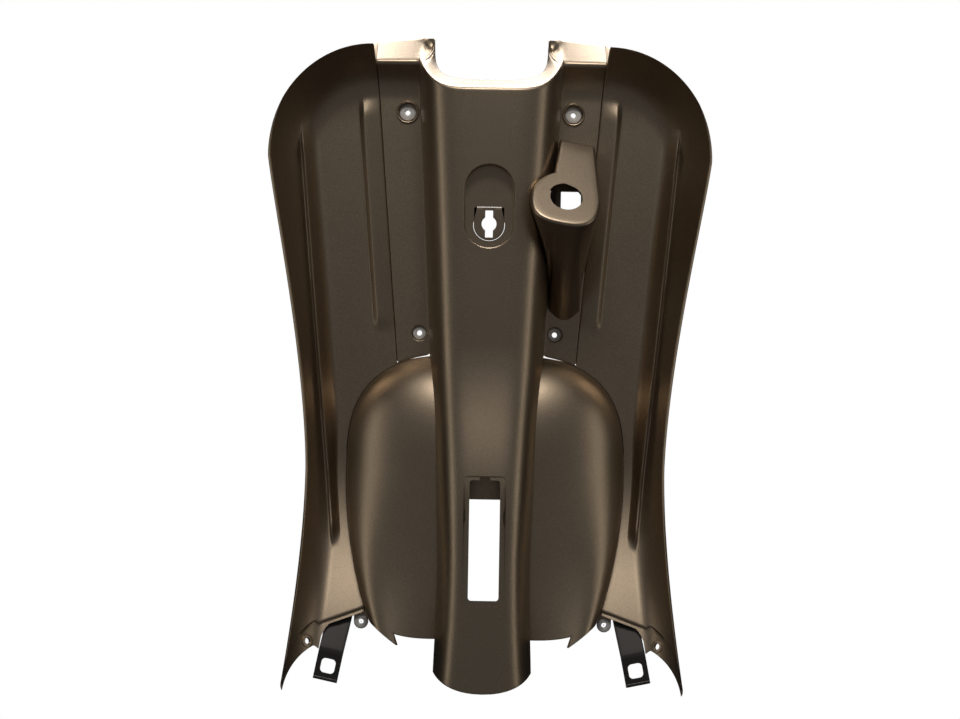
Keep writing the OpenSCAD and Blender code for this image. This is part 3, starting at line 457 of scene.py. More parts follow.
def wingLines(t):
    # the inner edge, the blade's crest and the outline at a share of the way down, each as x and z;
    # the inner edge runs down the seam, round the arch's superellipse and down the arch's side
    seam, middle, power = wing["atSeamEnd"], wing["atArchMiddle"], arch["power"]
    stops = [0, seam, middle, 1]
    seamZ = mix(outline["rimTop"], seamEnd, t / seam)
    first = np.arcsin((seamX(seamEnd) / arch["half"]) ** (power / 2))
    angle = mix(first, np.pi / 2, np.clip((t - seam) / (middle - seam), 0, 1))
    arcX = arch["half"] * np.sin(angle) ** (2 / power)
    arcZ = arch["midZ"] + arch["height"] * np.maximum(0, np.cos(angle)) ** (2 / power)
    lowZ = mix(arch["midZ"], arch["cornerZ"], (t - middle) / (1 - middle))
    inX = np.where(t < seam, seamX(seamZ), np.where(t < middle, arcX, archHalf(lowZ)))
    inZ = np.where(t < seam, seamZ, np.where(t < middle, arcZ, lowZ))
    top = float(outlineZ(np.array(wing["bladeTopX"] - 1.0)))
    crestZ = np.interp(t, stops, [top, archTop, outline["waistZ"], arch["cornerZ"] - wing["crestFoot"]])
    crestX = mix(wing["bladeTopX"] - 1, bladeX(crestZ), np.clip(t / 0.01, 0, 1))
    rimZ = np.interp(t, stops, [wing["rimFromZ"], archTop, outline["waistZ"], outline["tipZ"]])
    return [np.stack(v, -1) for v in ((inX, inZ), (crestX, crestZ), (outlineX(rimZ), rimZ))]


def unitOf(v):
    # the vector over its length
    return v / np.linalg.norm(v, axis=-1, keepdims=True)


def ridgeHeight(z, height, topZ, topRun, endZ, endRun):
    # a height that eases in below its top and fades out above its end
    return height * ease((topZ - z) / topRun) * ease((z - endZ) / endRun)


def toward(a, b, distance):
    # the point at that distance from a, at most 0.45 of the way to b
    length = np.linalg.norm(b[..., :2] - a[..., :2], axis=-1, keepdims=True)
    return a + (b - a) * np.minimum(0.45, distance / np.maximum(1e-6, length))


def between(a, b, n):
    # n points inside the line from a to b
    return a + (b - a) * np.linspace(0, 1, n + 2)[1:-1].reshape(-1, 1, 1)


def wingRow(t):
    # places across the panel, each x, z and ridge height, with round corners at the step and at the blade
    w = wing
    p, q, r = wingLines(t)
    length = np.linalg.norm(q - p, axis=-1, keepdims=True)
    along, out = unitOf(q - p), unitOf(r - q)
    s = p + (q - p) * w["stepShare"]
    sHigh = ridgeHeight(s[..., 1:2], w["stepHeight"], w["stepTopZ"], w["stepTopRun"], w["stepZ"],
                        w["stepEndRun"])
    qHigh = ridgeHeight(q[..., 1:2], w["bladeHeight"], w["bladeTopZ"], w["bladeTopRun"], w["bladeZ"],
                        w["bladeEndRun"])
    flat = np.zeros_like(length)
    places = ((p, flat), (s, sHigh), (s + along * np.minimum(w["stepFall"], 0.16 * length), flat),
              (q - along * np.minimum(w["bladeFace"], 0.45 * length), flat), (q, qHigh),
              (q + out * w["bladeFall"], flat), (r - out * w["lipWidth"], flat), (r, flat))
    inner, step, stepFoot, faceFoot, crest, crestFoot, lip, edge = [np.concatenate(v, -1) for v in places]
    # each corner with its neighbours, the lengths rounded before and after it, and its number of points
    corners = ((inner, step, stepFoot, 1.4, 0.7, 5), (step, stepFoot, faceFoot, 0.7, 1.2, 5),
               (stepFoot, faceFoot, crest, 4.0, 4.0, 7), (faceFoot, crest, crestFoot, 1.6, 0.7, 6),
               (crest, crestFoot, lip, 0.7, 1.4, 5))
    c1, c2, c3, c4, c5 = [cornerCurve(toward(b, a, before), b, toward(b, c, after), n)
                          for a, b, c, before, after, n in corners]
    parts = [inner[None], between(inner, c1[0], 9), c1, c2, between(c2[-1], c3[0], 18), c3,
             between(c3[-1], c4[0], 3), c4, c5, between(c5[-1], lip, 22), lip[None], between(lip, edge, 2),
             edge[None]]
    first = sum(len(v) for v in parts[:8])  # the column at the foot of the blade's outer wall
    return np.moveaxis(np.concatenate(parts), 0, 1), first


def wingShell(name, flip):
    # the rows down the panel, then the flange under the foot, as front and back grids
    t = spread([0, 0.02, 0.1, 0.25, 0.5, 0.75, 0.85, 0.95, 1], [6, 16, 26, 44, 40, 22, 22, 12])
    rows, crest = wingRow(t)
    top = rows[0]
    cols = rows.shape[1]
    # the top row follows the outline, and the foot bows out between the blade and the tip
    lift = outlineZ(top[:, 0]) - top[:, 1]
    fade = np.maximum(0, 1 - t / wing["topPart"])[:, None] ** 2
    foot = np.maximum(0, (t - wing["footFrom"]) / wing["footPart"])[:, None] ** 2
    s = np.clip((np.arange(cols) - crest) / (cols - 4 - crest), 0, 1)[None]
    x = rows[..., 0] + wing["bowX"] * 4 * s * (1 - s) * foot
    z = rows[..., 1] + lift[None] * fade + wing["bowZ"] * 4 * s * (1 - s) * foot
    depth = panelDepth(x, z) + rows[..., 2]
    # the last three columns turn back from the lip
    turnBack = wing["lipFall"] * np.array([1, 2, 3])[None] / 3
    depth[:, -3:] = depth[:, -4:-3] - turnBack
    # the flange under the foot, set back from the panel
    sFoot = np.linspace(0, 1, cols)
    shortEnd = mix(0.15, 1, ease((np.arange(cols) - crest * 0.8) / (crest * 0.2)))
    drop = wing["flangeLeast"] + wing["flangeDrop"] * shortEnd * np.maximum(0, 1 - sFoot ** 6) ** 0.8
    f = np.array([0.03, 0.2, 0.4, 0.6, 0.8, 0.94, 1])[:, None]
    fx, fz = np.repeat(x[-1:], len(f), 0), z[-1:] - drop[None] * f
    x, z = np.concatenate([x, fx]), np.concatenate([z, fz])
    flange = panelDepth(fx, fz) - wing["flangeSet"]
    flange[:, -3:] -= turnBack
    depth = np.concatenate([depth, flange])
    front = np.stack([x, -depth, z], -1)
    back = front + np.stack([np.zeros_like(x), backThickness(x, z), np.zeros_like(x)], -1)
    if flip:
        front, back = front * [-1, 1, 1], back * [-1, 1, 1]
    return closedSheet(name, front, back, flip=flip)


def tabDepth():
    # depth of the tabs' front: the panel at the arch's corner, less the flange's step and a millimetre
    return float(panelDepth(np.array(wing["tabX"]), np.array(arch["cornerZ"] * 1.0))) - wing["flangeSet"] - 1


def makeFlangeBoss(piece, sign):
    # cuts the flange's screw hole square to the surface, and returns the ring round it
    w, e = wing, 0.5
    x, z = w["flangeHoleX"], w["flangeHoleZ"]

    def level(dx, dz):
        # panel depth beside the hole
        return float(panelDepth(np.array(x + dx), np.array(z + dz)))

    axis = (sign * (level(-e, 0) - level(e, 0)), -1, level(0, -e) - level(0, e))
    place = (sign * x, w["flangeSet"] - level(0, 0), z)
    r, h, bore = w["bossWidth"] / 2, w["bossHeight"], w["flangeHole"] / 2
    cutWith(piece, cylinderCutter("flangeCut", place, axis, bore + 0.4, 16))
    profile = [(bore, -1.4), (r, -1.2), (r, h - 0.35), (r - 0.1, h - 0.1), (r - 0.35, h), (bore + 0.3, h),
               (bore, h - 0.3)]
    return turned("boss", profile, place, axis, 48)


def makeTab(sign):
    # plate with a round end and a bore, for the screw beside the arch
    w = wing
    half, x, y = w["tabWidth"] / 2, sign * w["tabX"], -tabDepth()
    topEdge = [[x + half, arch["cornerZ"]], [x - half, arch["cornerZ"]]]
    shape = np.concatenate([topEdge, arcPoints(x, w["tabZ"], half, 180, 360, 25)])
    tab = prism("tab", shape, y, y + w["tabWall"])
    cutWith(tab, cylinderCutter("tabCut", (x, y, w["tabZ"]), (0, -1, 0), w["tabHole"] / 2, 20))
    roundEdges(tab, 0.4)
    return tab


def makeWing(side):
    # shell, flange boss and tab of one side
    sign = -1 if side == "left" else 1
    piece = wingShell("wing_" + side + "_shell", sign < 0)
    roundEdges(piece, wing["edgeRound"])
    boss = makeFlangeBoss(piece, sign)
    joinPieces(piece, [makeTab(sign), boss])
    finishPiece(piece, "wing_" + side, "bronzePaint")


for side in ("left", "right"):
    makeWing(side)
print("side panels made")


# centre cover

column = dict(topHalf=70, lowHalf=49, lowZ=-440, rise=80, extra=30, swellZ=-230, swellRun=170, endZ=-562.5,
              endRun=32, draft=4, endRound=16, power=4, taper=1.2, fillet=3, flare=2.5, flareRun=75)
neck = dict(ledgeZ=46.5, ledgeTop=74.5, ledgeDepth=2, ledgeFall=0.1, drop=30, postHeight=13, notchHalf=56,
            notchZ=28.5, notchDepth=40, ledgeWall=1.8, wall=2.2, lapDrop=1.3, lapFromZ=-20, lapRun=40)
wells = dict(upperX=82.7, upperZ=0, upper=19, upperStand=2.1, lowerX=67.5, lowerZ=-220, lower=15,
             lowerStand=0, floor=2, wall=1.8, bore=4)
window = dict(width=29, topZ=-360, endZ=-474, notchWidth=10, notchHeight=3, corner=3, border=5.6,
              borderTopLess=1.6, borderCorner=5.5, borderDepth=1.3)
recess = dict(z=-98, half=24, halfHeight=40, depth=13, floorWall=2, plateZ=-114.5, plateWidth=29.6,
              plateHeight=32, plateWall=2, plateGap=0.5, keyHole=14.4, slotWidth=7.5, slotHeight=26)
cableWay = dict(leftX=71.5, lowZ=-148.8, rightX=91.5, topZ=-76.8, corner=0.5, front=-16, back=20)


def colHalf(z):
    # powered line between the two half widths, and a slow parabola below them
    c = column
    up = np.clip((z - c["lowZ"]) / -c["lowZ"], 0, None)
    low = c["lowHalf"] + c["flare"] * ((c["lowZ"] - z) / c["flareRun"]) ** 2
    return np.where(z > c["lowZ"], mix(c["lowHalf"], c["topHalf"], up ** c["taper"]), low)


def colDepth(z):
    # depth of the column's front, which swells forward on its way down
    return column["rise"] + column["extra"] * ease((column["swellZ"] - z) / column["swellRun"])


def colSide(z, up, inset):
    # superellipse section that narrows a little towards the rider
    power = column["power"]
    return (colHalf(z) - inset - column["draft"] * up) * np.maximum(0, 1 - up ** power) ** (1 / power)


def colRoot(z):
    # depth where the column starts: on the panel, or over the arch below its top
    lower = archDepth(colHalf(z) - column["draft"] - sheetWall["thickness"], z) + 2 * sheetWall["lapGap"]
    panel = panelDepth(np.zeros_like(z), z)
    return np.where(z > archTop - 0.5, panel, np.maximum(panel, lower))


def colSection(z, a, inset):
    # angle 0 is the root and 90 degrees the middle of the front
    rise = colDepth(z) - inset
    low = np.degrees(np.arcsin((colRoot(z) / rise) ** (column["power"] / 2)))
    up = np.sin(np.radians(mix(low, 90, a / 90))) ** (2 / column["power"])
    return colSide(z, up, inset), rise * up


def archTopAt(x):
    # height of the arch's superellipse at a distance from the middle
    return arch["midZ"] + arch["height"] * (1 - (x / arch["half"]) ** arch["power"]) ** (1 / arch["power"])


def lapDepth(x, z):
    # just behind the side panel, and a little deeper towards the top
    drop = neck["lapDrop"] * ease((z - neck["lapFromZ"]) / neck["lapRun"])
    return panelBack(x, z) - sheetWall["lapGap"] - drop


def middleGrid(skin):
    # half of the middle panel: columns run from the middle of the front to the root, the strip and the lap
    g, t = sheetWall["groove"], sheetWall["thickness"]
    angles = np.concatenate([np.linspace(90, 60, 12, endpoint=False), np.linspace(60, 24, 26, endpoint=False),
                             np.linspace(24, 0, 13)])
    strip = spread([0, 0.04, 0.96, 1], [2, 13, 2])
    nC, nS = len(angles), len(strip)
    cosA = np.cos(np.radians(angles))
    ledgeZ = neck["ledgeZ"]
    topZ = np.concatenate([ledgeZ - neck["drop"] * (1 - cosA ** 3), np.full(nS + 2, ledgeZ * 1.0)])

    def stripX(u, z):
        # from the column's fillet to the seam's groove
        return mix(colHalf(z) + column["fillet"], seamX(z) - g / 2, u)

    lowX = np.concatenate([stripX(strip, archTop), [seamX(archTop)] * 2])
    lowZ = np.concatenate([np.full(nC, archTop * 1.0), archTopAt(lowX) + g])

    def place(zs):
        # zs holds one height for every column; returns x, y and z
        a, s = zs[..., :nC], zs[..., nC:nC + nS]
        x1, d1 = colSection(a, angles, skin * t)
        y1 = -d1
        y1[..., -1] += np.where(a[..., -1] > archTop - 0.5, skin * t, 0)
        x2 = stripX(strip, s)
        y2 = -panelDepth(x2, s) + skin * backThickness(x2, s)
        x2 = x2.copy()
        x2[..., -1] -= skin * t * 0.7
        zl = zs[..., nC + nS:]
        x3 = np.stack([seamX(zl[..., 0]) - g / 2 + 0.2, seamX(zl[..., 1]) + sheetWall["lapWidth"]], -1)
        y3 = -lapDepth(x3, zl) + skin * t
        x3 = x3 - np.array([0.7 * skin * t, 0])
        return np.stack([np.concatenate([x1, x2, x3], -1), np.concatenate([y1, y2, y3], -1), zs], -1)

    shares = spread([0, 0.03, 0.14, 0.89, 1], [5, 10, 70, 12])
    down = shares[:, None]
    upper = place(mix(topZ[None] - np.where(down == 0, skin * neck["wall"], 0), lowZ[None], down))
    # the ledge turned back from the top, and the notch for the steering neck between two rounded posts
    b = np.radians(np.maximum(0, (angles - 12) / 78 * 90))
    p = 2 / column["power"]
    w, h = neck["notchHalf"] + skin * t, neck["ledgeTop"] - neck["notchZ"] + skin * t
    cosB, sinB = np.maximum(0, np.cos(b)), np.sin(b)
    low, back = skin * neck["ledgeWall"], -neck["ledgeDepth"] + skin * neck["ledgeWall"]
    z = float(neck["ledgeZ"])
    edge = float(colHalf(np.array(z)))
    small = angles < 12.5
    xn = np.where(small, mix(edge + 1, w + 1, angles / 12), w * cosB ** p)
    yn = np.where(small, back, -mix(neck["ledgeDepth"], neck["notchDepth"], sinB))
    zn = np.where(small, neck["ledgeTop"] - low, neck["ledgeTop"] - h * sinB ** p)
    lx = np.concatenate([stripX(strip, z), [seamX(z) - g / 2 + 0.2, seamX(z) + sheetWall["lapWidth"]]])
    farX = np.concatenate([xn, np.minimum(lx, seamX(z) + 4)])
    farZ = np.concatenate([zn, neck["ledgeTop"] - neck["ledgeFall"] * (lx - edge) - low])
    far = np.stack([farX, np.concatenate([yn, np.full(nS + 2, back)]), farZ], -1)
    post = np.exp(-((angles - 9) / 5.5) ** 2)[:, None]
    half = (far + upper[0]) / 2
    half[:nC] = mix(half[:nC], far[:nC] - [0, 4, neck["postHeight"]], post)
    nearTop = mix(half, upper[0], 0.72)
    bend = cornerCurve(nearTop, upper[0], upper[2], 6)
    run = np.linspace(0, 1, 14, endpoint=False)[:, None, None]
    pull = 2 * half - (far + nearTop) / 2
    ledgeRows = (1 - run) ** 2 * far + 2 * run * (1 - run) * pull + run ** 2 * nearTop
    upper = np.concatenate([ledgeRows, bend, upper[3:]])
    # the column below the top of the arch
    last = column["endZ"] + column["endRun"]
    zLow = np.linspace(archTop - 1.5, last, 120)
    lower = place(np.repeat(zLow[:, None], nC + nS + 2, 1))
    endZ = column["endZ"] + column["endRound"] * (1 - np.sqrt(1 - np.concatenate([cosA, np.ones(nS + 2)])))
    ends = place(mix(last, endZ[None], np.linspace(0, 1, 15)[1:, None]))
    grid = np.concatenate([upper, lower, ends])
    return grid, nC, nS, len(ledgeRows) + len(bend) - 3 + len(shares), shares


def keptCells(rows, cols, nC, nS, nUpper, shares):
    # the column everywhere, the strips above the arch's top, and the laps as long as the panels reach
    k = np.abs(np.arange(cols - 1) + 0.5 - (cols - 1) / 2)[None] - 0.5
    i = np.arange(rows - 1)[:, None]
    share = np.zeros(rows - 1)
    share[nUpper - len(shares):nUpper - 1] = shares[:-1]
    share[nUpper - 1:] = 2
    return (k < nC - 1) | ((k < nC + nS - 1) & (i < nUpper - 1)) | (share[:, None] < 0.985)


def makeCentreCover():
    # front and back grids mirrored to full width, then the openings and the cups in them
    front, nC, nS, nUpper, shares = middleGrid(0)
    halves = (front, middleGrid(1)[0])
    both = [np.concatenate([half[:, :0:-1] * [-1, 1, 1], half], 1) for half in halves]
    keep = keptCells(*both[0].shape[:2], nC, nS, nUpper, shares)
    piece = closedSheet("centreCover", both[0], both[1], keep)
    roundEdges(piece, 0.7)
    # the rounding may not stand above the posts
    co = np.empty(len(piece.data.vertices) * 3)
    piece.data.vertices.foreach_get("co", co)
    co[2::3] = np.minimum(co[2::3], neck["ledgeTop"] * 0.001)
    piece.data.vertices.foreach_set("co", co)
    places = [(wells[k] / 2, wells[k + "Stand"], (sign * wells[k + "X"], 0, wells[k + "Z"]))
              for k in ("upper", "lower") for sign in (-1, 1)]
    for r, _, place in places:
        cutWith(piece, cylinderCutter("wellCut", place, (0, -1, 0), r + wells["wall"] / 2, 30))
    # recess for the bag hook, and the window with its small notch
    cutWith(piece, prism("recessCut", stadium(recess["half"] + 1, recess["halfHeight"] + 1), -60, -100))
    half, notch = window["width"] / 2, window["notchWidth"] / 2
    box = roundedBox(-half, window["endZ"], half, window["topZ"], window["corner"])
    cutWith(piece, prism("windowCut", box, -80, -200))
    box = roundedBox(-notch, window["topZ"] - 4, notch, window["topZ"] + window["notchHeight"], 1.5)
    cutWith(piece, prism("notchCut", box, -80, -200))
    cutWith(piece, windowBorder())
    # way for the lock's cable
    way = cableWay
    box = roundedBox(way["leftX"], way["lowZ"], way["rightX"], way["topZ"], way["corner"], 3)
    cutWith(piece, prism("cableCut", box, way["back"], way["front"]))
    joinPieces(piece, [makeWell(*place) for place in places] + [makeRecess()])
    finishPiece(piece, "centre_cover", "bronzePaint")


def makeWell(r, stand, place):
    # cup round a screw place: floor, wall and a rounded rim, turned round the place
    wall, floor, bore = r + wells["wall"], -wells["floor"], wells["bore"]
    top = rim["wellDepth"] + stand
    profile = [(bore, floor), (wall, floor), (wall, top - 1), (r + 1.4, top - 0.35), (r + 0.9, top),
               (r + 0.45, top - 0.15), (r + 0.1, top - 0.6), (r, top - 1.2), (r, 0.4), (r - 0.4, 0),
               (bore, 0)]
    return turned("well", profile, place)


def windowBorder():
    # a box with round corners whose inner side follows the column's front
    k = window
    half, low = k["width"] / 2 + k["border"], k["endZ"] - k["border"]
    top = k["topZ"] + k["border"] - k["borderTopLess"]
    edge = roundedBox(-half, low, half, top, k["borderCorner"], 9)
    middle = (low + top) / 2
    rings = []
    for share in np.linspace(0, 1, 25)[1:]:
        x, z = edge[:, 0] * share, middle + (edge[:, 1] - middle) * share
        rings.append(np.stack([x, k["borderDepth"] - colDepth(z), z], -1))
    rings.append(np.stack([edge[:, 0], np.full(len(edge), -160.0), edge[:, 1]], -1))
    return ringMesh("borderCut", rings, closed=False)


def stadium(half, halfHeight, n=40):
    # two half circles joined by straight sides, once round
    dz = halfHeight - half
    return np.concatenate([arcPoints(0, recess["z"] + dz, half, 0, 180, n),
                           arcPoints(0, recess["z"] - dz, half, 180, 360, n)])


def makeRecess():
    # cup of the recess: rings of one outline, from the lip in the column's face down to the hole in the floor
    r = recess
    n = 41
    ang = np.concatenate([np.linspace(0, np.pi, n), np.linspace(np.pi, 2 * np.pi, n)])
    side = np.concatenate([np.ones(n), -np.ones(n)])
    dz = r["halfHeight"] - r["half"]
    floor = column["rise"] - r["depth"]
    wall = r["floorWall"]

    def ring(grow, depth):
        # the stadium outline, grown by that much, at one depth or at a depth for each point
        x = (r["half"] + grow) * np.cos(ang)
        z = r["z"] + side * dz + (r["half"] + grow) * np.sin(ang)
        return np.stack([x, -depth + 0 * x, z], -1)

    def faceDepth(grow, sink):
        # depth of the column's face along that outline, less the sink
        p = ring(grow, 0.0)
        up = colFaceUp(np.abs(p[:, 0]), p[:, 2])
        return colDepth(p[:, 2]) * up - sink

    lip = ((1.0, 0.0), (0.75, 0.05), (0.45, 0.25), (0.2, 0.6), (0.05, 1.1))
    rings = [ring(grow, faceDepth(grow, sink)) for grow, sink in lip]
    foot = ((0, 1.4), (-0.15, 0.5), (-0.6, 0.05), (-1.3, 0.0))
    rings += [ring(grow, floor + wall + up) for grow, up in foot]
    # the floor's hole for the hook plate: same count of points, by polar angle round the plate
    hole = plateOutline(r["plateGap"], rings[-1])
    rings += [hole + [0, -(floor + wall), 0], hole + [0, -floor, 0], ring(2, floor),
              ring(2, faceDepth(2, 1.2))]
    return ringMesh("recess", rings)


def colFaceUp(x, z):
    # share of the column's depth at a distance from the middle, by halving
    low, high = np.zeros_like(x), np.ones_like(x)
    for _ in range(24):
        m = (low + high) / 2
        wide = colSide(z, m, 0) > x
        low, high = np.where(wide, m, low), np.where(wide, high, m)
    return (low + high) / 2


def plateOutline(grow, around):
    # the hook plate's outline: a half circle below and a square top, cut by rays from its middle
    r = recess
    half = r["plateWidth"] / 2 + grow
    top = r["plateHeight"] / 2 + grow
    low = r["plateHeight"] / 2 - r["plateWidth"] / 2
    dx, dz = around[:, 0], around[:, 2] - r["plateZ"]
    a = np.arctan2(dz, dx)
    ca, sa = np.cos(a), np.sin(a)
    box = np.minimum(half / np.maximum(1e-9, np.abs(ca)), top / np.maximum(1e-9, np.abs(sa)))
    # circle centred at (0, -low)
    bq = low * sa
    circle = -bq + np.sqrt(np.maximum(0, bq ** 2 - low ** 2 + half ** 2))
    dist = np.where(box * sa < -low, circle, box)
    return np.stack([dist * ca, np.zeros_like(a), r["plateZ"] + dist * sa], -1)


makeCentreCover()
print("centre cover made")


# hook plate

def makeHookPlate():
    # rings from the keyhole to the plate's outline on the front, and back again behind
    r = recess
    a = np.linspace(0, 2 * np.pi, 160, endpoint=False) + 0.01
    ray = np.stack([np.cos(a) * 50, 0 * a, r["plateZ"] + np.sin(a) * 50], -1)
    outer = plateOutline(0, ray)
    ca, sa = np.abs(np.cos(a)), np.abs(np.sin(a))
    slot = np.minimum(r["slotWidth"] / 2 / np.maximum(1e-9, ca), r["slotHeight"] / 2 / np.maximum(1e-9, sa))
    key = np.maximum(r["keyHole"] / 2, slot)
    inner = np.stack([key * np.cos(a), 0 * a, r["plateZ"] + key * np.sin(a)], -1)
    floor = column["rise"] - r["depth"]
    shares = (0, 0.25, 0.5, 0.75, 1)
    rings = [mix(inner, outer, share) + [0, -(floor + r["plateWall"]), 0] for share in shares]
    rings += [mix(inner, outer, share) + [0, -floor, 0] for share in shares[::-1]]
    piece = ringMesh("hookPlate", rings)
    roundEdges(piece, 0.25, 2, 40)
    finishPiece(piece, "hook_plate", "bronzePaint")


makeHookPlate()
print("hook plate made")


# wheel arch

def makeWheelArch():
    # rows from the top to the foot and the two fins, columns from lap to lap across the dome
    g, t, gap = sheetWall["groove"], sheetWall["thickness"], sheetWall["lapGap"]
    s = spread([0, 0.2, 0.6, arch["finFrom"], 0.9, 0.99, 1], [8, 18, 14, 10, 12, 3])
    side = np.concatenate([s, [1, 1, 1]])
    lap = np.concatenate([np.zeros(len(s)), [0.02, 0.5, 1]])
    side = np.concatenate([-side[:0:-1], side])
    lapSigned = np.concatenate([-lap[:0:-1], lap])
    up = spread([0.985, 0.9, 0.7, 0.2, 0.01], [16, 16, 22, 8])
    far = np.abs(side)
    footZ = arch["footZ"] + (arch["endZ"] - arch["footZ"]) * far ** 5
    finZ = footZ - arch["finHeight"] * (1 - np.maximum(arch["finFrom"], far)) / (1 - arch["finFrom"])
    footZ = np.where(np.abs(lapSigned) > 0, arch["cornerZ"] * 1.0, footZ)
    zUp = arch["midZ"] + arch["height"] * up[:, None] + 0 * side[None]
    zDown = mix(arch["midZ"] * 1.0, footZ[None], spread([0, 0.92, 1], [54, 8])[:, None])
    zFin = mix(footZ[None], finZ[None], np.array([0.25, 0.5, 0.75, 1])[:, None])
    z = np.concatenate([zUp, zDown, zFin])
    x = side[None] * archHalf(z)
    e = 0.5
    gx = archRatio(x + e, z) - archRatio(x - e, z)
    gz = archRatio(x, z + e) - archRatio(x, z - e)
    n = np.maximum(1e-9, np.hypot(gx, gz))
    ox, oz = gx / n, gz / n
    edge = np.where(np.abs(side) < 1, 0, g + gap)[None]
    onLap = np.abs(lapSigned)[None] > 0
    px = x - ox * edge + lapSigned[None] * arch["lap"]
    pz = z - oz * edge
    depth = np.where(onLap, panelBack(np.abs(px), pz) - 1.5 * gap, archDepth(px, pz))
    front = np.stack([px, -depth, pz], -1)
    steep = np.where(np.abs(lapSigned)[None] > 0.4, 0, ease((archRatio(px, pz) - 0.55) / 0.4))
    inset = steep * t * 0.9
    back = np.stack([px - ox * inset, -depth + t * (1 - 0.4 * steep), pz - oz * inset], -1)
    rows = len(z)
    i = np.arange(rows - 1)[:, None]
    lo = np.minimum(np.abs(side[:-1]), np.abs(side[1:]))
    hi = np.maximum(np.abs(side[:-1]), np.abs(side[1:]))
    keep = (i < rows - 5) | ((lo >= arch["finFrom"] - 0.001) & (hi <= 0.9999))[None]
    piece = closedSheet("wheelArch", front, back, keep)
    roundEdges(piece, 0.6)
    half = arch["windowHalf"]
    box = roundedBox(-half, arch["windowLowZ"], half, arch["windowTopZ"], arch["windowCorner"])
    cutWith(piece, prism("archWindow", box, -20, -160))
    finishPiece(piece, "wheel_arch", "bronzePaint")


makeWheelArch()
print("wheel arch made")


# lock housing

lock = dict(x=73.5, z=-89, depth=88, tilt=37, turn=10, hole=15.6, relief=17.5, reliefFrom=80, reliefTo=165,
            faceRadius=33.5, facePower=2.8, faceWall=3, wall=2.5, corner=3.0, sideAngle=10, armWidth=35,
            armShift=2, armLength=73.5, armSteps=14, roundSteps=110, endZ=-205, rightX=92, lipRound=10,
            lipFrom=-12, lipTo=-153)


def turnFace(px, py, w):
    # from the face's own frame to the part's frame: tilted up, then turned a little to the side
    ct, st = math.cos(math.radians(lock["tilt"])), math.sin(math.radians(lock["tilt"]))
    cu, su = math.cos(math.radians(lock["turn"])), math.sin(math.radians(lock["turn"]))
    z = py * ct + w * st
    out = w * ct - py * st
    return np.stack([lock["x"] + px * cu + z * su, -lock["depth"] - out, lock["z"] - px * su + z * cu], -1)


def faceBorder(inset):
    # border of the face once round, from the arm's top right corner down the right side and round below
    k = lock
    r, a, side = k["faceRadius"] - inset, k["armWidth"] / 2 - inset, math.radians(k["sideAngle"])
    left = 180 - math.degrees(math.acos((a - k["armShift"]) / r))
    nArm = k["armSteps"]
    f = np.linspace(0, 1, nArm, endpoint=False)
    rightX = mix(a + k["armShift"], r * math.cos(side), f)
    rightY = mix(k["armLength"] - inset, r * math.sin(side), f)
    leftY = mix(r * math.sin(math.radians(left)), k["armLength"] - inset, np.linspace(0, 1, nArm + 1)[1:])
    t = np.radians(np.linspace(k["sideAngle"], left - 360, k["roundSteps"]))
    p = k["facePower"]
    rt = np.where(np.sin(t) >= 0, r, r / (np.abs(np.cos(t)) ** p + np.abs(np.sin(t)) ** p) ** (1 / p))
    x = np.concatenate([rightX, rt * np.cos(t), np.full(nArm, k["armShift"] - a)])
    y = np.concatenate([rightY, rt * np.sin(t), leftY])
    return x, y


def groundDepth(x, z):
    # what the housing stands on: the column's face or the strip, whichever is further forward, plus the gap
    gap = sheetWall["lapGap"]
    near = np.abs(x - 4 * gap)
    face = np.where(near >= colHalf(z), 0, colDepth(z) * colFaceUp(np.minimum(near, colHalf(z)), z))
    return np.maximum(face + 3 * gap, panelDepth(x, z) + gap + 0.35 * np.maximum(0, x - seamX(z) + 1))


def wallFoot(p, inset):
    # straight back for the arm and the upper side; below, drawn down to a narrow end on the strip
    k, count = lock, np.arange(len(p))
    armAngle = math.degrees(math.acos((k["armWidth"] / 2 - k["armShift"]) / k["faceRadius"]))
    span = -180 - armAngle - k["sideAngle"]
    first, last = [k["armSteps"] + (k["roundSteps"] - 1) * (k[v] - k["sideAngle"]) / span
                   for v in ("lipFrom", "lipTo")]
    q = (count - first) / (last - first)
    low, right, turn = lock["endZ"] + inset, lock["rightX"] - inset, lock["lipRound"]
    left = float(colHalf(np.array(low * 1.0))) + 2 + inset
    x, z = p[:, 0].copy(), p[:, 2].copy()
    s1, s2, s3 = q / 0.35, (q - 0.35) / 0.25, (q - 0.6) / 0.4
    a = (q > 0) & (q < 0.35)
    b = (q >= 0.35) & (q < 0.6)
    c = (q >= 0.6) & (q < 1)
    x = np.where(a, mix(p[:, 0], right, np.clip(s1, 0, 1) ** 1.5), x)
    z = np.where(a, mix(p[:, 2], low + turn, s1), z)
    x = np.where(b, mix(right, left, s2), x)
    z = np.where(b, low + turn - turn * np.sin(np.pi * np.clip(s2, 0, 1)), z)
    x = np.where(c, mix(left, p[:, 0], np.clip(s3, 0, 1) ** 2), x)
    z = np.where(c, mix(low + turn, p[:, 2], s3), z)
    return np.stack([x, -groundDepth(x, z), z], -1)


def faceRing(share, inset, depthIn):
    # a ring on the face at a share of the way from the hole to the border
    x, y = faceBorder(inset)
    x0, y0 = faceBorder(0)
    a = np.arctan2(y0, x0)
    deg = np.degrees(a) % 360
    r = np.where((deg > lock["reliefFrom"]) & (deg < lock["reliefTo"]), lock["relief"], lock["hole"])
    return turnFace(mix(r * np.cos(a), x, share), mix(r * np.sin(a), y, share), depthIn)


def wallRings(edge, foot, shares):
    # rings on the way from the face's edge to the foot, kept in front of what the housing stands on
    rings = mix(edge, foot, shares[:, None, None])
    rings[..., 1] = np.minimum(rings[..., 1], -groundDepth(rings[..., 0], rings[..., 2]))
    return list(rings)


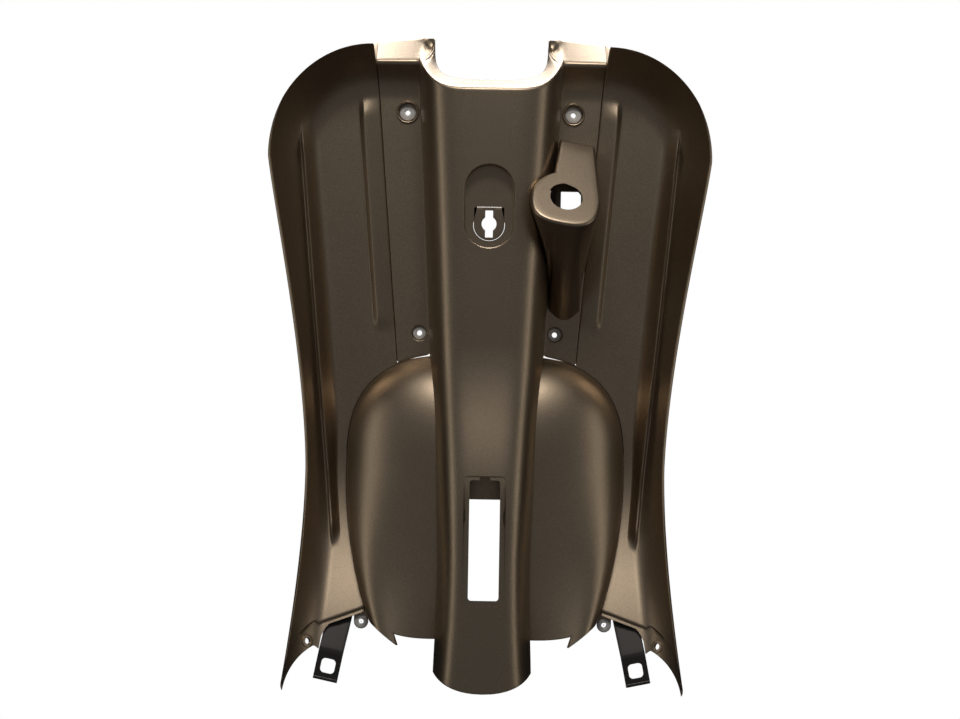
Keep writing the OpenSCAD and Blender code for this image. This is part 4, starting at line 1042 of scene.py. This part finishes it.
def makeLockHousing():
    # one skin: from the hole over the face, round the corner and down the wall to the foot, then back inside
    t, w = lock["faceWall"], lock["wall"]
    c = lock["corner"]
    rings = [faceRing(v, c if v else 0, 0) for v in (0, 0.04, 0.25, 0.5, 0.75, 1)]
    for ang in np.radians([18, 36, 54, 72, 90]):
        rings.append(faceRing(1, c * (1 - math.sin(ang)), -c * (1 - math.cos(ang))))
    edge, inEdge = rings[-1], faceRing(1, w, -t)
    rings += wallRings(edge, wallFoot(edge, 0), np.linspace(0, 1, 26)[1:])
    rings += wallRings(inEdge, wallFoot(inEdge, w), np.linspace(1, 0, 14))
    rings += [faceRing(v, w if v else 0, -t) for v in (0.75, 0.5, 0.25, 0)]
    piece = ringMesh("lockHousing", rings, inward=True)
    finishPiece(piece, "lock_housing", "bronzePaint", 50)


makeLockHousing()
print("lock housing made")


# screw collars

collar = dict(bore=5.2, wall=1.2, head=1.2, tail=3, edge=0.35, upperHead=16, lowerHead=13, tabHead=13, seat=2)


def makeCollar(node, place, headWidth, seat):
    # tube through the seat with a flat head, its edges rounded, turned round the place
    r, e = collar["bore"] / 2, collar["edge"]
    h, big, tube = collar["head"], headWidth / 2, r + collar["wall"]
    tail = -seat - collar["tail"]
    profile = [(r, tail), (tube, tail), (tube, 0), (big - 0.1, 0), (big, e * 0.5), (big, h - e),
               (big - e * 0.4, h - e * 0.3), (big - e, h), (r + e * 1.6, h), (r + e * 0.5, h - e * 0.4),
               (r, h - e * 1.4)]
    finishPiece(turned(node + "_ring", profile, place), node, "zincSteel", 40)


for sign, side in ((-1, "left"), (1, "right")):
    for level in ("upper", "lower"):
        place = (sign * wells[level + "X"], 0, wells[level + "Z"])
        makeCollar(level + "_collar_" + side, place, collar[level + "Head"], collar["seat"])
    place = (sign * wing["tabX"], -tabDepth(), wing["tabZ"])
    makeCollar("tab_collar_" + side, place, collar["tabHead"], wing["tabWall"])
print("collars made")


# floor clips and their screws

clip = dict(width=24, wall=2.5, x=135.5, topZ=-480, lean=12, slope=24, turn=38, bend=9, upper=53, lower=27,
            slotWidth=14, slotHeight=15, slotLift=6, screwAlong=11, reach=25)
clipTopDepth = float(panelDepth(np.array(clip["x"]), np.array(clip["topZ"] - clip["reach"] * 1.0)))
clipStart = clipTopDepth - wing["flangeSet"] - sheetWall["thickness"] * 1.15 - 2.6 \
    - clip["reach"] * math.tan(math.radians(clip["slope"]))


def clipToPart(px, py, pz, sign):
    # from the clip's frame, leaning about y, to the part's frame
    a = math.radians(-clip["lean"])
    x = px * math.cos(a) + pz * math.sin(a)
    z = -px * math.sin(a) + pz * math.cos(a)
    return np.stack([sign * (clip["x"] + x), -clipStart + py, clip["topZ"] + z], -1)


def makeClip(side):
    # flat strip along a line, an arc and a line again, with a slot and a rolled lower lip
    sign = -1 if side == "left" else 1
    sl, last = math.radians(clip["slope"]), math.radians(clip["slope"] - clip["turn"])
    bend = clip["upper"] * np.array([math.sin(sl), -math.cos(sl)])
    middle = bend - clip["bend"] * np.array([math.cos(sl), math.sin(sl)])
    arcA = np.linspace(sl, last, 14)
    arc = middle + clip["bend"] * np.stack([np.cos(arcA), np.sin(arcA)], -1)
    end = arc[-1] + clip["lower"] * np.array([math.sin(last), -math.cos(last)])
    upper, lower = np.linspace([0, 0], bend, 12, endpoint=False), np.linspace(arc[-1], end, 9)[1:]
    line = np.concatenate([upper, arc, lower])
    ang = np.concatenate([np.full(12, sl), arcA, np.full(8, last)])
    normal = np.stack([np.cos(ang), np.sin(ang)], -1)
    across = np.linspace(-0.5, 0.5, 9)[None] * clip["width"]
    wide, long = np.ones_like(across), np.ones((len(line), 1))

    def skin(offset):
        # the line moved back by the offset, repeated across the width
        p = line - normal * offset
        return clipToPart(long * across, -p[:, :1] * wide, p[:, 1:] * wide, sign)

    piece = closedSheet("clip_" + side, skin(0), skin(clip["wall"]), flip=sign < 0)
    roundEdges(piece, 0.5)
    half, low = clip["slotWidth"] / 2, end[1] + clip["slotLift"]
    cutter = prism("slotCut", roundedBox(-half, low, half, low + clip["slotHeight"], 4), -80, 40)
    co = np.empty(len(cutter.data.vertices) * 3)
    cutter.data.vertices.foreach_get("co", co)
    co *= 1000
    moved = clipToPart(co[0::3], co[1::3], co[2::3], sign) * 0.001
    cutter.data.vertices.foreach_set("co", moved.ravel())
    if sign < 0:
        cutter.data.flip_normals()
    cutWith(piece, cutter)
    # rolled lip at the lower end: a rod with four rings, the outer two a little smaller
    centre = end - normal[-1] * clip["wall"] / 2
    a = np.linspace(0, 2 * np.pi, 24, endpoint=False)[None]
    along = (np.array([-0.5, -0.485, 0.485, 0.5]) * clip["width"])[:, None]
    grow = (np.array([0.8, 1, 1, 0.8]) * (clip["wall"] * 0.8))[:, None]
    y, z = -centre[0] + grow * np.cos(a), centre[1] + grow * np.sin(a)
    rings = clipToPart(along * np.ones_like(a), y, z, sign)
    joinPieces(piece, [ringMesh("lip", rings, closed=False, flip=sign < 0)])
    finishPiece(piece, "floor_clip_" + side, "darkPlastic")


def makeClipScrew(side):
    # shank, washer and head with a sunk top, turned round the normal of the clip's upper part
    sign = -1 if side == "left" else 1
    sl = math.radians(clip["slope"])
    y, z = -clip["screwAlong"] * math.sin(sl), -clip["screwAlong"] * math.cos(sl)
    base = clipToPart(np.array(0.0), np.array(y), np.array(z), sign)
    tip = clipToPart(np.array(0.0), np.array(y + math.cos(sl)), np.array(z - math.sin(sl)), sign)
    w = clip["wall"]
    profile = [(0.01, -4), (1.49, -4), (1.49, w), (4.5, w), (4.5, w + 0.7), (4.2, w + 1), (3.2, w + 1),
               (3.2, w + 2.3), (2.9, w + 2.6), (1.6, w + 2.6), (1.5, w + 1.4), (0.01, w + 1.4)]
    piece = turned("clipScrew_" + side, profile, base, tip - base, 32)
    finishPiece(piece, "clip_screw_" + side, "zincSteel", 40)


for side in ("left", "right"):
    makeClip(side)
    makeClipScrew(side)
print("clips made")


# stage, light and camera

studio = dict(cameraX=-0.0066, cameraDistance=2.0, cameraZ=-0.2456, focal=75, sensor=36, roll=-0.94,
              overPower=36, sideLampPower=1.6, frontPower=16, ambient=0.03, roomLevel=0.12, backLevel=0.008)


def areaLight(name, place, target, sizeX, sizeY, power, colour=(1, 1, 1)):
    # a lamp with a rectangle for a face, which looks at the target
    data = bpy.data.lights.new(name, "AREA")
    data.shape = "RECTANGLE"
    data.size, data.size_y = sizeX, sizeY
    data.energy = power
    data.color = colour
    lamp = bpy.data.objects.new(name, data)
    lamp.location = place
    lamp.rotation_euler = (Vector(target) - Vector(place)).to_track_quat("-Z", "Y").to_euler()
    bpy.context.scene.collection.objects.link(lamp)


def makeWorld():
    # white for what the camera, gloss and glass see, and a plain grey level for the rest
    world = bpy.data.worlds.new("studio")
    world.use_nodes = True
    bpy.context.scene.world = world
    tree = world.node_tree
    out, ambient = tree.nodes["World Output"], tree.nodes["Background"]
    ambient.inputs["Color"].default_value = (0.9, 0.93, 1, 1)
    ambient.inputs["Strength"].default_value = studio["ambient"]
    white = tree.nodes.new("ShaderNodeBackground")
    white.inputs["Color"].default_value = (1, 1, 1, 1)
    path = tree.nodes.new("ShaderNodeLightPath")
    coord = tree.nodes.new("ShaderNodeTexCoord")
    parts = tree.nodes.new("ShaderNodeSeparateXYZ")
    tree.links.new(coord.outputs["Generated"], parts.inputs[0])
    # the white backdrop stands well behind the part; the room is dim round the camera and dark at the back
    room = mathNode(tree, "MULTIPLY_ADD", parts.outputs["Y"], -0.4, -0.08)
    room = mathNode(tree, "MAXIMUM", room, studio["backLevel"])
    room = mathNode(tree, "MINIMUM", room, studio["roomLevel"])
    behind = mathNode(tree, "MULTIPLY_ADD", parts.outputs["Y"], 25.0, -24.0)
    behind = mathNode(tree, "MINIMUM", mathNode(tree, "MAXIMUM", behind, room), 1.0)
    seen = mathNode(tree, "MAXIMUM", behind, path.outputs["Is Camera Ray"])
    tree.links.new(seen, white.inputs["Strength"])
    blend = tree.nodes.new("ShaderNodeMixShader")
    glossy = mathNode(tree, "MAXIMUM", path.outputs["Is Glossy Ray"], path.outputs["Is Transmission Ray"])
    tree.links.new(mathNode(tree, "MAXIMUM", glossy, path.outputs["Is Camera Ray"]), blend.inputs[0])
    tree.links.new(ambient.outputs[0], blend.inputs[1])
    tree.links.new(white.outputs[0], blend.inputs[2])
    tree.links.new(blend.outputs[0], out.inputs["Surface"])


makeWorld()
# a wide box above and behind the part, two tall boxes at the sides and a weak strip above the camera
areaLight("over", (0, 0.62, 1.05), (0, 0, 0.05), 1.6, 0.8, studio["overPower"], (1, 0.98, 0.97))
for sign in (-1, 1):
    areaLight("side", (sign * 1.38, -0.6, -0.2), (0, 0, -0.2), 0.3, 1.3, studio["sideLampPower"],
              (1, 0.93, 0.82))
areaLight("front", (0, -1.15, 1.35), (0, 0, -0.3), 0.7, 0.45, studio["frontPower"], (1, 0.94, 0.87))

data = bpy.data.cameras.new("camera")
data.lens = studio["focal"]
data.sensor_width = studio["sensor"]
cam = bpy.data.objects.new("camera", data)
cam.location = (studio["cameraX"], -studio["cameraDistance"], studio["cameraZ"])
cam.rotation_mode = "XYZ"
cam.rotation_euler = (math.radians(90), math.radians(studio["roll"]), 0)
bpy.context.scene.collection.objects.link(cam)
bpy.context.scene.camera = cam
bpy.context.scene.view_settings.view_transform = "Standard"
print("stage made")

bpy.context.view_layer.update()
for name in ("wing_left_shell", "centreCover", "wheelArch", "lockHousing"):
    o = bpy.data.objects[name]
    o.data.calc_loop_triangles()
    print(name, len(o.data.loop_triangles), "triangles")
